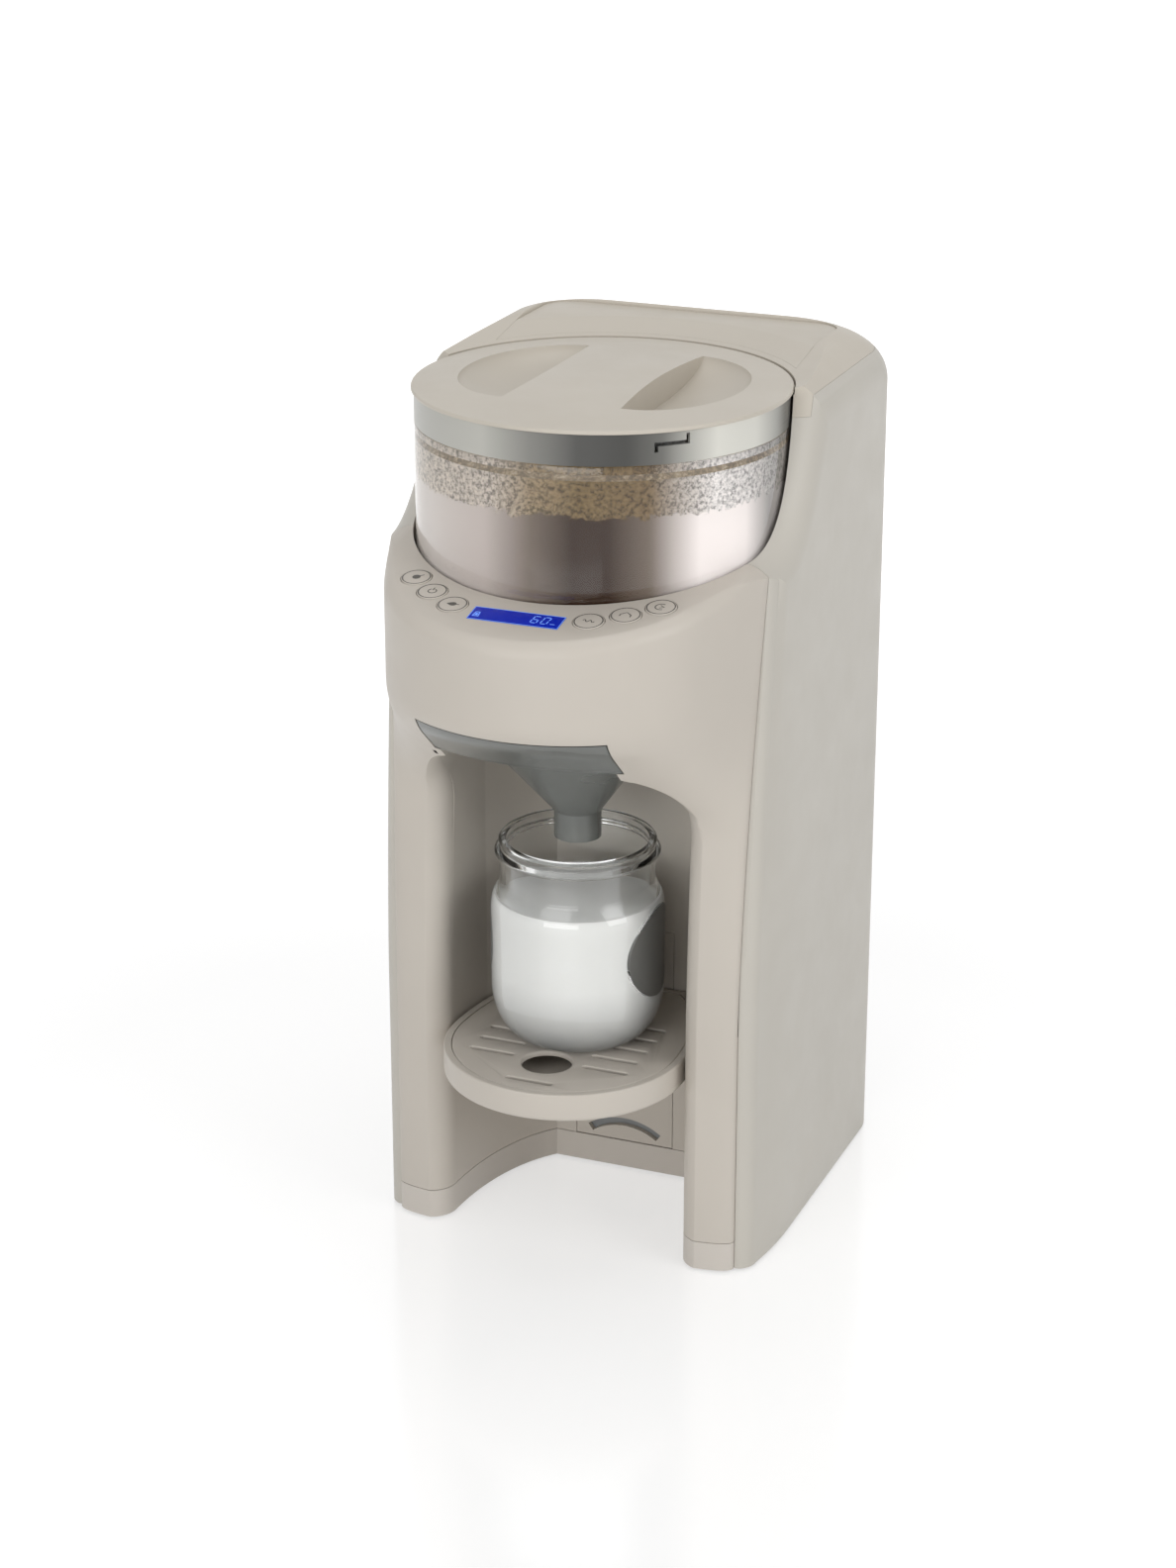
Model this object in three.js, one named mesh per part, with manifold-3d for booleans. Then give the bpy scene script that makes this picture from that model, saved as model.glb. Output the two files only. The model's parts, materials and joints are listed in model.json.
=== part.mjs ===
// Baby formula maker: a head that carries a powder container, a bay with a drip tray and a bottle
// under it, and a tower behind that holds the water tank.
// Millimetres, +Z up, the front faces -Y. The origin is on the floor, at the middle of the width
// and of the depth.

import * as THREE from 'three';
import { mergeVertices } from 'three/addons/utils/BufferGeometryUtils.js';
import Module from 'manifold-3d';

const wasm = await Module();
wasm.setup();

// Overall sizes
const lidToTop = 7;
const wall = 2.6;
const gap = 0.3;
const overrun = 6;

// Feet and base
const footLift = 1.2;
const footRadius = 6;
const footSink = 1.6;
const baseTop = 14;
const frontFootInset = 22.2;
const frontFootSetback = 77.5;
const rearFootInset = 26.2;
const rearFootFromBack = 26.5;
const screwHeadRadius = 3.4;
const screwHeadHeight = 1.2;
const screwShankRadius = 1.6;
const screwLength = 9;
const screwInset = 18.2;
const frontScrewSetback = 110.5;
const rearScrewFromBack = 48.5;

// Side shell in plan
const sideBow = 3;
const sideBowLength = 32.5;
const bowShares = [0.25, 0.5, 0.75, 1];
const backCornerRadius = 27;
const shoulderRadius = 24;
const cornerSoftening = 1.1;
const cheekRadius = 17;
const cheekEndShare = 0.25;
const lipRadius = 9;
const lipAngle = 65;
const seamAngle = 42;
const lipReach = 0.7;
const lipSetback = 70.5;

// Seam between the front housing and the side shell
const seamStartLift = 16.3;
const seamLean = 15;
const legInsideGap = 0.9;
const legTuck = 6;

// Powder container and its place
const headDepth = 35.6;
const containerSideRoom = 11;
const containerHeight = 113;
const containerWall = 2;
const containerFloor = 2.4;
const pocketClearance = 1.2;
const driveRoom = 16;
const deckThickness = 3;
const wellWall = 2.5;
const wellDepth = 29;
const lidOverhang = 1.1;
const lidEdge = 1.6;
const lidPlate = 3;
const skirtHeight = 12.6;
const skirtWall = 1.8;
const gasketThickness = 1.6;
const gasketWidth = 3;
const powderLevel = 68;
const powderClearance = 0.7;

// Lid grip: two scoops beside a straight bar
const gripHalfWidth = 21;
const scoopRadiusX = 36;
const scoopRadiusY = 46;
const scoopDepth = 10;
const scoopSkin = 2.2;
const lidLipHeight = 4;
const lidLipWall = 2;
const lidLipClearance = 2;
const notchAngle = 48;
const notchWidth = 1.6;
const notchRun = 15;
const notchDrop = 4.4;
const notchHook = 3.2;

// Head and control panel
const panelTilt = 11;
const displaySetback = 21.5;
const panelLift = 39.4;
const panelEdgeRadius = 6;
const displayWidth = 38.9;
const displayHeight = 10.3;
const buttonRadius = 6.3;
const buttonRise = 0.3;
const buttonDrop = 3.2;
const buttonTravel = 0.6;
const buttonReachShares = [0.435, 0.4, 0.4];
const buttonAngles = [18.4, 27.6, 37];
const switchHeight = 1.3;
const switchRadius = 2;
const boardThickness = 1.6;
const boardInnerReach = 3.2;
const boardOuterReach = 16.5;
const boardHalfAngle = 41;
const boardPostRadius = 2.2;
const boardPostReach = 6;
const boardPostAngle = 23;
const displayModuleMargin = 2;

// Chin, legs and bay
const headBottomLift = 20.2;
const chinEndDrop = 29.8;
const legNoseDepth = 6.5;
const seamStep = 0.9;
const noseInset = 13.7;
const noseHalfAngle = 66;
const flankLead = 14;
const legNoseRounding = 7;
const bayArchRadius = 25;
const legWidth = 34.2;
const bayTaper = 21;
const bayWallStartSetback = 74.5;
const bayCurveShares = [[0.965, 0.39], [0.67, 0.77]];
const plateMargin = 10;
const plateRise = 26;
const slotSideRoom = 6.94;
const slotHalfAngle = 35;
const slotThickness = 3;
const slotCount = 3;
const lowestSlotRoom = 3.84;
const slotClearance = 0.4;

// Funnel and its slot
const funnelSideRoom = 13.2;
const funnelFlangeRise = 20.8;
const funnelFlangeThickness = 2.2;
const funnelFrameThickness = 2.4;
const funnelSlotHeight = 11.2;
const funnelSlotBack = 122.5;
const funnelRiserSetback = 39;
const funnelRailOverlap = 3;
const funnelMouthRoom = 5.3;
const funnelMouthHalfDepth = 39.5;
const funnelMouthSetback = 78;
const funnelConeHeight = 36.8;
const funnelWall = 2;
const spoutRadius = 10;
const spoutLength = 11.8;
const spoutClearance = 2.5;
const bottleSetback = 85.5;

// Drip tray
const trayTop = 93.7;
const trayHeight = 12.4;
const traySetback = 72.4;
const trayFloor = 2.5;
const trayRim = 3.2;
const trayLedge = 3;
const trayBayClearance = 1.5;
const grateThickness = 2.2;
const grateHoleRadius = 10.8;
const grateHoleSetback = 50.5;
const grateSlotWidth = 2.6;
const grateRowPitch = 11.2;
const grateRowShare = 0.14;
const grateRowCount = 5;
const grateFrontSlotSetback = 31.2;
const grateSlotInner = 15.5;
const grateSlotEdgeRoom = 16.5;
const grateFrontSlotHalf = 10.5;
const tongueDepth = 2.6;

// Bottle
const bottleRadius = 37;
const bottleSideRoom = 17;
const bottleWall = 2.8;
const bottleBaseInset = 15;
const bottleHeight = 87.7;
const bottleRimStep = 0.6;
const bottleCollarStep = 2.2;
const bottleCollarHeight = 7.5;
const bottleNeckInset = 4;
const bottleNeckHeight = 16;
const bottleShoulderHeight = 14;
const bottleRoundHeight = 24;
const milkDepth = 63;
const gripRadius = 20;
const gripCentreHeight = 43;
const gripDent = 1.4;

// Dosing wheel, stirrer and drive
const wheelThickness = 12;
const wheelClearance = 2.6;
const wheelPocketRadius = 9;
const wheelPocketCount = 8;
const wheelRim = 7.6;
const outletHalfWidth = 9;
const outletHalfDepth = 7;
const chuteWall = 2;
const chuteFlange = 3;
const chuteFlangeThickness = 2.5;
const chuteReach = 2;
const scraperThickness = 3;
const scraperHalfWidth = 15;
const scraperInner = 26;
const stirrerHeight = 10;
const stirrerHubRadius = 9;
const stirrerArmWidth = 5;
const stirrerArmCount = 3;
const stirrerWallClearance = 2;
const shaftRadius = 5.2;
const shaftHoleClearance = 1.3;
const socketClearance = 0.5;
const socketDepth = 6.4;
const gearChuteRoom = 4;
const gearTeeth = 40;
const pinionTeeth = 10;
const gearThickness = 6.6;
const gearClearance = 2.4;
const gearHubRadius = 12;
const toothTipShare = 0.8;
const toothRootShare = 1.1;
const toothWidthShares = [0.25, 0.12];
const motorRadius = 16;
const motorHeight = 47.4;
const pinionLift = 0.3;

// Chassis
const chassisOverhang = 2;
const chassisRise = 3.2;
const shelfThickness = 2.5;
const tankShelfTop = 128.5;
const tankShelfInset = 0.5;
const tankShelfBackInset = 18;
const motorShelfHalfWidth = 20;
const motorShelfMargin = 1.1;
const motorFrontRoom = 0.4;
const mainBoardInset = 6;
const mainBoardLift = 7.5;
const mainBoardHeight = 56;

// Water tank, its lid and valve
const capSeamInset = 4.7;
const capHeight = 18;
const tankSideInset = 21.7;
const tankDepth = 27.8;
const tankCornerRadius = 12;
const tankBackInset = 21.5;
const tankArcClearance = 2;
const tankOpeningClearance = 1;
const tankWall = 2;
const tankLidHeight = 6.6;
const tankLidRecess = 3.5;
const tankLidPlate = 2.4;
const valveSideRoom = 48.2;
const valveFromBack = 34.5;
const spigotRadius = 10.5;
const spigotBore = 8;
const spigotLength = 9;
const valveStemRadius = 2.6;
const valveHeadRadius = 11;
const valveHeadHeight = 3;
const valveTravel = 3;
const cupRadius = 14;
const cupWall = 2;
const cupDepth = 17;

// Pump, flow valve, heater, tubes and nozzle
const pumpSideRoom = 46.2;
const pumpFromBack = 48.5;
const pumpRadius = 18;
const pumpHeight = 54;
const pumpChamberRadius = 14;
const pumpChamberHeight = 10;
const pumpChamberLift = 8;
const portHalf = 4;
const portReach = 4;
const rotorRadius = 12.5;
const rotorClearance = 1;
const rotorBladeCount = 5;
const rotorHubRadius = 3.5;
const rotorBladeWidth = 2;
const waterLineFromBack = 44.5;
const waterLineZ = 22;
const flowValveHalf = 12;
const flowValveHeight = 30;
const heaterSideRoom = 44.2;
const heaterHalfWidth = 18;
const heaterHalfDepth = 15;
const heaterFromBack = 52.5;
const heaterHeight = 84;
const tubeRadius = 3.2;
const nozzleX = 22;
const nozzleSetback = 62.5;
const nozzleHalf = 6;
const nozzleHeight = 9;
const nozzleRadius = 4;
const nozzleBore = 1.6;
const nozzleReach = 4;
const tubeLift = 7.6;
const sensorHalfWidth = 6;
const sensorHalfDepth = 4;
const sensorHeight = 6;

// Power inlet
const inletSideRoom = 46.2;
const inletZ = 30;
const inletHalfWidth = 14;
const inletHalfHeight = 10;
const inletDepth = 18;
const inletFlange = 2.5;
const inletRecess = 12;
const inletRim = 3.5;

// Tessellation
const fineSides = 36;
const bottleSides = 24;
const midSides = 20;
const smallSides = 12;
const tinySides = 8;
const headSteps = 8;
const flankSteps = 3;
const cornerSteps = 4;
const curveSteps = 6;

// Worked out from the sizes above: the width
const bayHalfWidth = bottleRadius + bottleSideRoom;
const halfWidth = bayHalfWidth + legWidth;
const bodyWidth = halfWidth * 2;
const containerRadius = halfWidth - containerSideRoom;
const lidRadius = containerRadius + lidOverhang;
const pocketRadius = containerRadius + pocketClearance;
const wellRadius = pocketRadius + wellWall;
const containerInner = containerRadius - containerWall;
const neckRadius = containerRadius - skirtWall - gap;
const outletReach = containerInner - wheelClearance - wheelPocketRadius - wheelRim;
const noseRadius = halfWidth - noseInset;
const bayBackHalfWidth = bayHalfWidth - bayTaper;
const plateHalfWidth = bayBackHalfWidth - plateMargin;
const slotRadius = (plateHalfWidth - slotSideRoom) / Math.sin(THREE.MathUtils.degToRad(slotHalfAngle));
const funnelHalfWidth = bayHalfWidth - funnelSideRoom;
const funnelMouthHalfWidth = funnelHalfWidth - funnelMouthRoom;
const trayRadius = bayHalfWidth - trayBayClearance;
const grateSlotOuter = trayRadius - grateSlotEdgeRoom;
const chassisHalfWidth = bayHalfWidth + chassisOverhang;
const mainBoardHalfWidth = chassisHalfWidth - mainBoardInset;
const tankHalfWidth = halfWidth - tankSideInset;
const tankShelfHalfWidth = tankHalfWidth - tankShelfInset;
const frontFootX = halfWidth - frontFootInset;
const rearFootX = halfWidth - rearFootInset;
const screwX = halfWidth - screwInset;
const valveX = valveSideRoom - halfWidth;
const pumpX = pumpSideRoom - halfWidth;
const heaterX = halfWidth - heaterSideRoom;
const inletX = halfWidth - inletSideRoom;
const lipCentreX = halfWidth - sideBow - lipRadius;
const lipEndX = lipCentreX + (lipRadius - wall) * Math.cos(THREE.MathUtils.degToRad(lipAngle)) - lipReach;
const slotHalf = funnelHalfWidth + gap * 2;
const bottleBaseRadius = bottleRadius - bottleBaseInset;
const bottleNeckRadius = bottleRadius - bottleNeckInset;
const bottleRimRadius = bottleNeckRadius + bottleRimStep;
const bottleCollarRadius = bottleNeckRadius + bottleCollarStep;

// The depth: the head round the container, then the tank behind it
const containerSetback = containerRadius + headDepth;
const tankArcRadius = wellRadius + tankArcClearance;
const bodyDepth = containerSetback + tankArcRadius + tankDepth + tankBackInset;
const frontY = -bodyDepth / 2;
const backY = bodyDepth / 2;
const axisY = frontY + containerSetback;
const lipY = frontY + lipSetback;
const bowStartY = lipY + lipRadius + sideBowLength;
const displayY = frontY + displaySetback;
const gearPitch = outletReach - outletHalfDepth - chuteWall - chuteFlange - gearChuteRoom;
const gearModule = gearPitch * 2 / gearTeeth;
const pinionPitch = gearModule * pinionTeeth / 2;
const pinionY = axisY + gearPitch + pinionPitch;
const bayBackY = pinionY - motorRadius - motorFrontRoom - shelfThickness - gap - wall;
const bottleY = frontY + bottleSetback;
const outletY = axisY - outletReach;
const nozzleY = frontY + nozzleSetback;
const frontFootY = frontY + frontFootSetback;
const frontScrewY = frontY + frontScrewSetback;
const rearFootY = backY - rearFootFromBack;
const rearScrewY = backY - rearScrewFromBack;
const tankBackY = backY - tankBackInset;
const valveY = backY - valveFromBack;
const pumpY = backY - pumpFromBack;
const waterLineY = backY - waterLineFromBack;
const heaterY = backY - heaterFromBack;
const chassisY = bayBackY + wall + gap;
const chassisBack = chassisY + shelfThickness;
const funnelBackY = frontY + funnelSlotBack - overrun / 2;

// The height: the tray, the bottle on it, the funnel over it, the drive, then the container
const baseFloorTop = footLift + wall;
const plateTop = trayTop + plateRise;
const seamStartHeight = trayTop + seamStartLift;
const plateBottom = baseTop + gap * 2;
const tongueHeight = trayTop - trayHeight / 2;
const slotRise = slotRadius * (1 - Math.cos(THREE.MathUtils.degToRad(slotHalfAngle)));
const lowestSlot = plateBottom + slotRise + lowestSlotRoom;
const slotPitch = (tongueHeight + slotThickness / 2 - lowestSlot) / (slotCount - 1);
const bottleBottom = trayTop + gap;
const bottleRimTop = bottleBottom + bottleHeight;
const milkTop = bottleBottom + milkDepth;
const spoutEnd = bottleRimTop + spoutClearance;
const funnelConeBottom = spoutEnd + spoutLength;
const bayCeiling = funnelConeBottom + funnelConeHeight;
const headBottom = bayCeiling + headBottomLift;
const chinEnd = bayCeiling - chinEndDrop;
const funnelFlangeTop = bayCeiling + funnelFlangeRise;
const funnelFrameBottom = bayCeiling + wall + gap;
const funnelFrameTop = funnelFrameBottom + funnelFrameThickness;
const funnelSlotTop = bayCeiling + funnelSlotHeight;
const chassisTop = bayCeiling + chassisRise;
const chuteEnd = funnelSlotTop - chuteReach;
const tubeZ = funnelSlotTop + tubeLift;
const deckTop = funnelSlotTop + driveRoom;
const gearTop = deckTop - deckThickness - gearClearance;
const motorBottom = gearTop - gearThickness - pinionLift - motorHeight;
const panelHeight = deckTop + panelLift;
const tilt = THREE.MathUtils.degToRad(panelTilt);
const seamTopHeight = panelZ(lipY + seamLean);
const seamLevels = [
  seamStartHeight, (seamStartHeight + chinEnd) / 2, chinEnd, (chinEnd + headBottom) / 2, headBottom,
  (headBottom + panelHeight) / 2, seamTopHeight,
];
const wellWallTop = deckTop + wellDepth;
const containerBottom = deckTop + gap;
const wheelBottom = containerBottom + containerFloor + gap;
const wheelTop = wheelBottom + wheelThickness;
const scraperTop = wheelTop + gap + scraperThickness;
const stirrerBottom = scraperTop + gap;
const stirrerTop = stirrerBottom + stirrerHeight;
const powderTop = deckTop + powderLevel;
const lidTop = deckTop + containerHeight;
const lidUnder = lidTop - lidEdge;
const skirtBottom = lidUnder - gap - skirtHeight;
const neckTop = lidUnder - gap - gasketThickness - gap;
const bodyHeight = lidTop + lidToTop;
const capBottom = bodyHeight - capHeight;
const tankTop = bodyHeight - tankLidRecess - tankLidHeight - gap;
const tankBottom = tankShelfTop + gap;
const mainBoardBottom = tankShelfTop + mainBoardLift;
const mainBoardTop = mainBoardBottom + mainBoardHeight;
const switchGap = buttonTravel + gap;
const boardDrop = wall + buttonDrop + switchGap + switchHeight;

// Colours
function finish(color, roughness = 0.45, metalness = 0, opacity = 1) {
  return new THREE.MeshStandardMaterial({ color, roughness, metalness, opacity, transparent: opacity < 1 });
}
const cream = finish(0xc0b9ac);
const creamSide = finish(0xbab5ac);
const creamLid = finish(0xc0b7ac);
const creamBase = finish(0xa7a29c);
const clearPlastic = finish(0xd9dcdc, 0.1, 0, 0.35);
const silver = finish(0xb2b1aa, 0.35, 0.2);
const smoke = finish(0x616362, 0.25, 0, 0.8);
const rubber = finish(0x3a3a3a, 0.9);
const powder = finish(0xb8a98f, 0.95);
const milkWhite = finish(0xf0efea, 0.4);
const inside = finish(0x8d8f90, 0.6);
const steel = finish(0xb5b7ba, 0.3, 1);
const circuit = finish(0x1f5a3a, 0.6);
const screenBlue = finish(0x132cb5, 0.2);

// Basic solids
function withoutFlatFaces(index) {
  const kept = [];
  for (let i = 0; i < index.length; i += 3) {
    const [a, b, c] = [index[i], index[i + 1], index[i + 2]];
    if (a !== b && b !== c && c !== a) kept.push(a, b, c);
  }
  return kept;
}

function signedVolume(position, index) {
  const [a, b, c] = [new THREE.Vector3(), new THREE.Vector3(), new THREE.Vector3()];
  let total = 0;
  for (let i = 0; i < index.length; i += 3) {
    a.fromBufferAttribute(position, index[i]);
    b.fromBufferAttribute(position, index[i + 1]);
    c.fromBufferAttribute(position, index[i + 2]);
    total += a.dot(b.cross(c));
  }
  return total;
}

function solid(geometry) {
  const bare = geometry.clone();
  bare.deleteAttribute('normal');
  bare.deleteAttribute('uv');
  const merged = mergeVertices(bare);
  const index = withoutFlatFaces(merged.index.array);
  if (signedVolume(merged.attributes.position, index) < 0) index.reverse();
  const vertProperties = new Float32Array(merged.attributes.position.array);
  return new wasm.Manifold(new wasm.Mesh({ numProp: 3, vertProperties, triVerts: new Uint32Array(index) }));
}

function surface(body) {
  const mesh = body.getMesh();
  const geometry = new THREE.BufferGeometry();
  geometry.setAttribute('position', new THREE.BufferAttribute(new Float32Array(mesh.vertProperties), mesh.numProp));
  geometry.setIndex(new THREE.BufferAttribute(new Uint32Array(mesh.triVerts), 1));
  geometry.computeVertexNormals();
  return geometry;
}

function union(...bodies) {
  return bodies.reduce((sum, body) => sum.add(body));
}

function cut(body, ...tools) {
  return tools.reduce((rest, tool) => rest.subtract(tool), body);
}

function box(x0, x1, y0, y1, z0, z1) {
  const geometry = new THREE.BoxGeometry(x1 - x0, y1 - y0, z1 - z0);
  geometry.translate((x0 + x1) / 2, (y0 + y1) / 2, (z0 + z1) / 2);
  return solid(geometry);
}

function disc(radius, z0, z1, x, y, sides) {
  const geometry = new THREE.CylinderGeometry(radius, radius, z1 - z0, sides);
  geometry.rotateX(Math.PI / 2);
  geometry.translate(x, y, (z0 + z1) / 2);
  return solid(geometry);
}

function turned(profile, x, y, sides) {
  const points = profile.map(([r, z]) => new THREE.Vector2(r, z));
  const closed = profile[0][0] === 0 ? points : [...points, points[0]];
  const geometry = new THREE.LatheGeometry(closed, sides);
  geometry.rotateX(Math.PI / 2);
  geometry.translate(x, y, 0);
  return solid(geometry);
}

function ring(outer, inner, z0, z1, x, y, sides) {
  return turned([[inner, z0], [outer, z0], [outer, z1], [inner, z1]], x, y, sides);
}

function extruded(points, depth, basis, origin) {
  const shape = new THREE.Shape(points.map(([a, b]) => new THREE.Vector2(a, b)));
  const geometry = new THREE.ExtrudeGeometry(shape, { depth, bevelEnabled: false });
  geometry.applyMatrix4(new THREE.Matrix4().makeBasis(...basis).setPosition(origin));
  return solid(geometry);
}

const xAxis = new THREE.Vector3(1, 0, 0);
const yAxis = new THREE.Vector3(0, 1, 0);
const zAxis = new THREE.Vector3(0, 0, 1);

// Outline in X and Y, raised from z0 to z1
function prism(points, z0, z1) {
  return extruded(points, z1 - z0, [xAxis, yAxis, zAxis], new THREE.Vector3(0, 0, z0));
}

// Outline in Y and Z, from x0 to x1
function prismAlongX(points, x0, x1) {
  return extruded(points, x1 - x0, [yAxis, zAxis, xAxis], new THREE.Vector3(x0, 0, 0));
}

// Outline in X and Z, from y0 to y1
function prismAlongY(points, y0, y1) {
  const backwards = yAxis.clone().negate();
  return extruded(points, y1 - y0, [xAxis, zAxis, backwards], new THREE.Vector3(0, y1, 0));
}

// Rings of equal count, the lowest first, each anticlockwise from above
function loft(rings) {
  const count = rings[0].length;
  const position = rings.flat().flatMap((p) => [p.x, p.y, p.z]);
  const index = [];
  for (let r = 0; r + 1 < rings.length; r += 1) {
    for (let i = 0; i < count; i += 1) {
      const a = r * count + i;
      const b = r * count + (i + 1) % count;
      index.push(a, b, b + count, a, b + count, a + count);
    }
  }
  const last = (rings.length - 1) * count;
  const flat = (one) => one.map((p) => new THREE.Vector2(p.x, p.y));
  for (const [a, b, c] of THREE.ShapeUtils.triangulateShape(flat(rings[0]), [])) index.push(a, c, b);
  for (const [a, b, c] of THREE.ShapeUtils.triangulateShape(flat(rings.at(-1)), [])) {
    index.push(last + a, last + b, last + c);
  }
  const geometry = new THREE.BufferGeometry();
  geometry.setAttribute('position', new THREE.BufferAttribute(new Float32Array(position), 3));
  geometry.setIndex(index);
  return solid(geometry);
}

function mirrored(points) {
  return [...points, ...points.map(([x, y]) => [-x, y]).reverse()];
}

function arc(x, y, radius, from, to, steps) {
  return Array.from({ length: steps + 1 }, (_, i) => {
    const angle = THREE.MathUtils.degToRad(from + (to - from) * i / steps);
    return [x + radius * Math.cos(angle), y + radius * Math.sin(angle)];
  });
}

// Place at a reach from the container's axis, angles counted from the front towards +X
function aroundContainer(reach, angle) {
  const turn = THREE.MathUtils.degToRad(angle);
  return [reach * Math.sin(turn), axisY - reach * Math.cos(turn)];
}

// Side shell
function panelZ(y) {
  return panelHeight + (y - displayY) * Math.tan(tilt);
}

function shellHalfWidth(y) {
  const ahead = Math.max(0, bowStartY - y) / sideBowLength;
  return halfWidth - sideBow * ahead ** 2;
}

function seamY(z) {
  return lipY + seamLean * seamRise(z) ** 1.5;
}

function seamRise(z) {
  return THREE.MathUtils.clamp((z - seamStartHeight) / (seamTopHeight - seamStartHeight), 0, 1);
}

// The shell curls inwards at its front edge, less so higher up
function lipTurn(z) {
  return THREE.MathUtils.lerp(lipAngle, seamAngle, seamRise(z));
}

function shellPlan(inset, soft = 0, z = 0) {
  const radius = backCornerRadius - inset + soft;
  const corner = inset + radius;
  const turn = lipTurn(z);
  const lipCentreY = seamY(z) + lipRadius * Math.sin(THREE.MathUtils.degToRad(turn));
  const right = [
    ...arc(lipCentreX, lipCentreY, Math.max(lipRadius - inset, lipReach), -turn, 0, cornerSteps - 1),
    ...bowShares.map((share) => {
      const y = THREE.MathUtils.lerp(lipCentreY, bowStartY, share);
      return [shellHalfWidth(y) - inset, y];
    }),
    ...arc(halfWidth - corner, backY - corner, radius, 0, 90, cornerSteps),
  ];
  return mirrored(right);
}

function planRing(points, z) {
  return points.map(([x, y]) => new THREE.Vector3(x, y, z));
}

// The wrap's volume, with a rounded shoulder at the top
function shellBody(inset, bottom) {
  const rounding = shoulderRadius - inset;
  const top = bodyHeight - inset;
  const rings = [bottom, ...seamLevels].map((z) => planRing(shellPlan(inset, 0, z), z));
  for (let i = 0; i <= cornerSteps; i += 1) {
    const angle = Math.PI / 2 * i / cornerSteps;
    const shrink = rounding * (1 - Math.cos(angle));
    const z = top - rounding * (1 - Math.sin(angle));
    rings.push(planRing(shellPlan(inset + shrink, shrink * cornerSoftening, z), z));
  }
  return loft(rings);
}

// Cheek line beside the container, from the panel up to the tower's rim
function cheekLine(inset) {
  const start = new THREE.Vector2(lipY + seamLean, seamTopHeight - inset);
  const middle = new THREE.Vector2(axisY + inset, panelZ(axisY) - inset);
  const end = new THREE.Vector2(axisY + containerRadius * cheekEndShare + inset, bodyHeight);
  const curve = new THREE.QuadraticBezierCurve(start, middle, end);
  return curve.getPoints(curveSteps).map((p) => [p.x, p.y]);
}

// What lies under the panel's plane and behind the cheek line, rounded along both sides
function cheekBody(inset) {
  const line = cheekLine(inset);
  const radius = cheekRadius - inset;
  const half = halfWidth - inset - radius;
  const points = [
    [-bodyDepth, -bodyDepth], [bodyDepth, -bodyDepth], [bodyDepth, bodyHeight * 2],
    [line.at(-1)[0], bodyHeight * 2], ...line.reverse(), [-bodyDepth, panelZ(-bodyDepth) - inset],
  ];
  const shape = new THREE.Shape(points.map(([y, z]) => new THREE.Vector2(y, z)));
  const geometry = new THREE.ExtrudeGeometry(shape, {
    depth: half * 2, bevelThickness: radius, bevelSize: radius, bevelOffset: -radius, bevelSegments: cornerSteps - 1,
  });
  const place = new THREE.Matrix4().makeBasis(yAxis, zAxis, xAxis).setPosition(-half, 0, 0);
  geometry.applyMatrix4(place);
  return solid(geometry);
}

function tankPlan(grow) {
  const side = tankHalfWidth + grow;
  const back = tankBackY + grow;
  const radius = tankCornerRadius + grow;
  const arcRadius = tankArcRadius - grow;
  const tip = THREE.MathUtils.radToDeg(Math.acos(side / arcRadius));
  return [
    ...arc(side - radius, back - radius, radius, 0, 90, cornerSteps),
    ...arc(-side + radius, back - radius, radius, 90, 180, cornerSteps),
    ...arc(0, axisY, arcRadius, 180 - tip, tip, curveSteps * 2),
  ];
}

function wrap() {
  const cavity = cut(
    union(
      shellBody(wall, footLift - overrun),
      box(-lipEndX, lipEndX, lipY - overrun, lipY + seamLean + wall, footLift - overrun, seamTopHeight - wall),
    ),
    disc(wellRadius, wellWallTop + gap, bodyHeight + overrun, 0, axisY, fineSides),
  ).intersect(cheekBody(wall));
  return cut(
    shellBody(0, footLift).intersect(cheekBody(0)),
    cavity,
    disc(pocketRadius, wellWallTop - overrun * 4, bodyHeight + overrun, 0, axisY, fineSides),
    disc(lidRadius + gap * 2, lidUnder - gap * 2, bodyHeight + overrun, 0, axisY, fineSides),
    prism(tankPlan(tankOpeningClearance), capBottom - overrun, bodyHeight + overrun),
    box(
      inletX - inletHalfWidth - gap, inletX + inletHalfWidth + gap, backY - wall - overrun, backY + overrun,
      inletZ - inletHalfHeight - gap, inletZ + inletHalfHeight + gap,
    ),
  );
}

function capRegion(inset, bottom) {
  return prism(shellPlan(inset, inset * cornerSoftening), bottom, bodyHeight + overrun);
}

function sideShell() {
  return wrap().subtract(capRegion(capSeamInset - gap / 2, capBottom - gap));
}

function towerCap() {
  return wrap().intersect(capRegion(capSeamInset + gap / 2, capBottom));
}

// Front housing: the head, its chin and the two legs
function headEdgeX(z) {
  const lipX = lipCentreX + lipRadius * Math.cos(THREE.MathUtils.degToRad(lipTurn(z)));
  return THREE.MathUtils.lerp(lipEndX - legInsideGap, lipX, seamRise(z));
}

function chinShare(z) {
  return THREE.MathUtils.clamp((headBottom - z) / (headBottom - chinEnd), 0, 1);
}

// Right half of the head's outline, from the front to the seam: an arc that opens into a flank
function headOutline(edge, seam, inset) {
  const centreY = frontY + noseRadius;
  const front = arc(0, centreY, noseRadius - inset, -90, noseHalfAngle - 90, headSteps);
  const turn = THREE.MathUtils.degToRad(noseHalfAngle);
  const start = new THREE.Vector2(...front.at(-1));
  const middle = new THREE.Vector2(start.x + flankLead * Math.cos(turn), start.y + flankLead * Math.sin(turn));
  const flank = new THREE.QuadraticBezierCurve(start, middle, new THREE.Vector2(edge, seam));
  return [...front, ...flank.getPoints(flankSteps).slice(1).map((p) => [p.x, p.y])];
}

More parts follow.
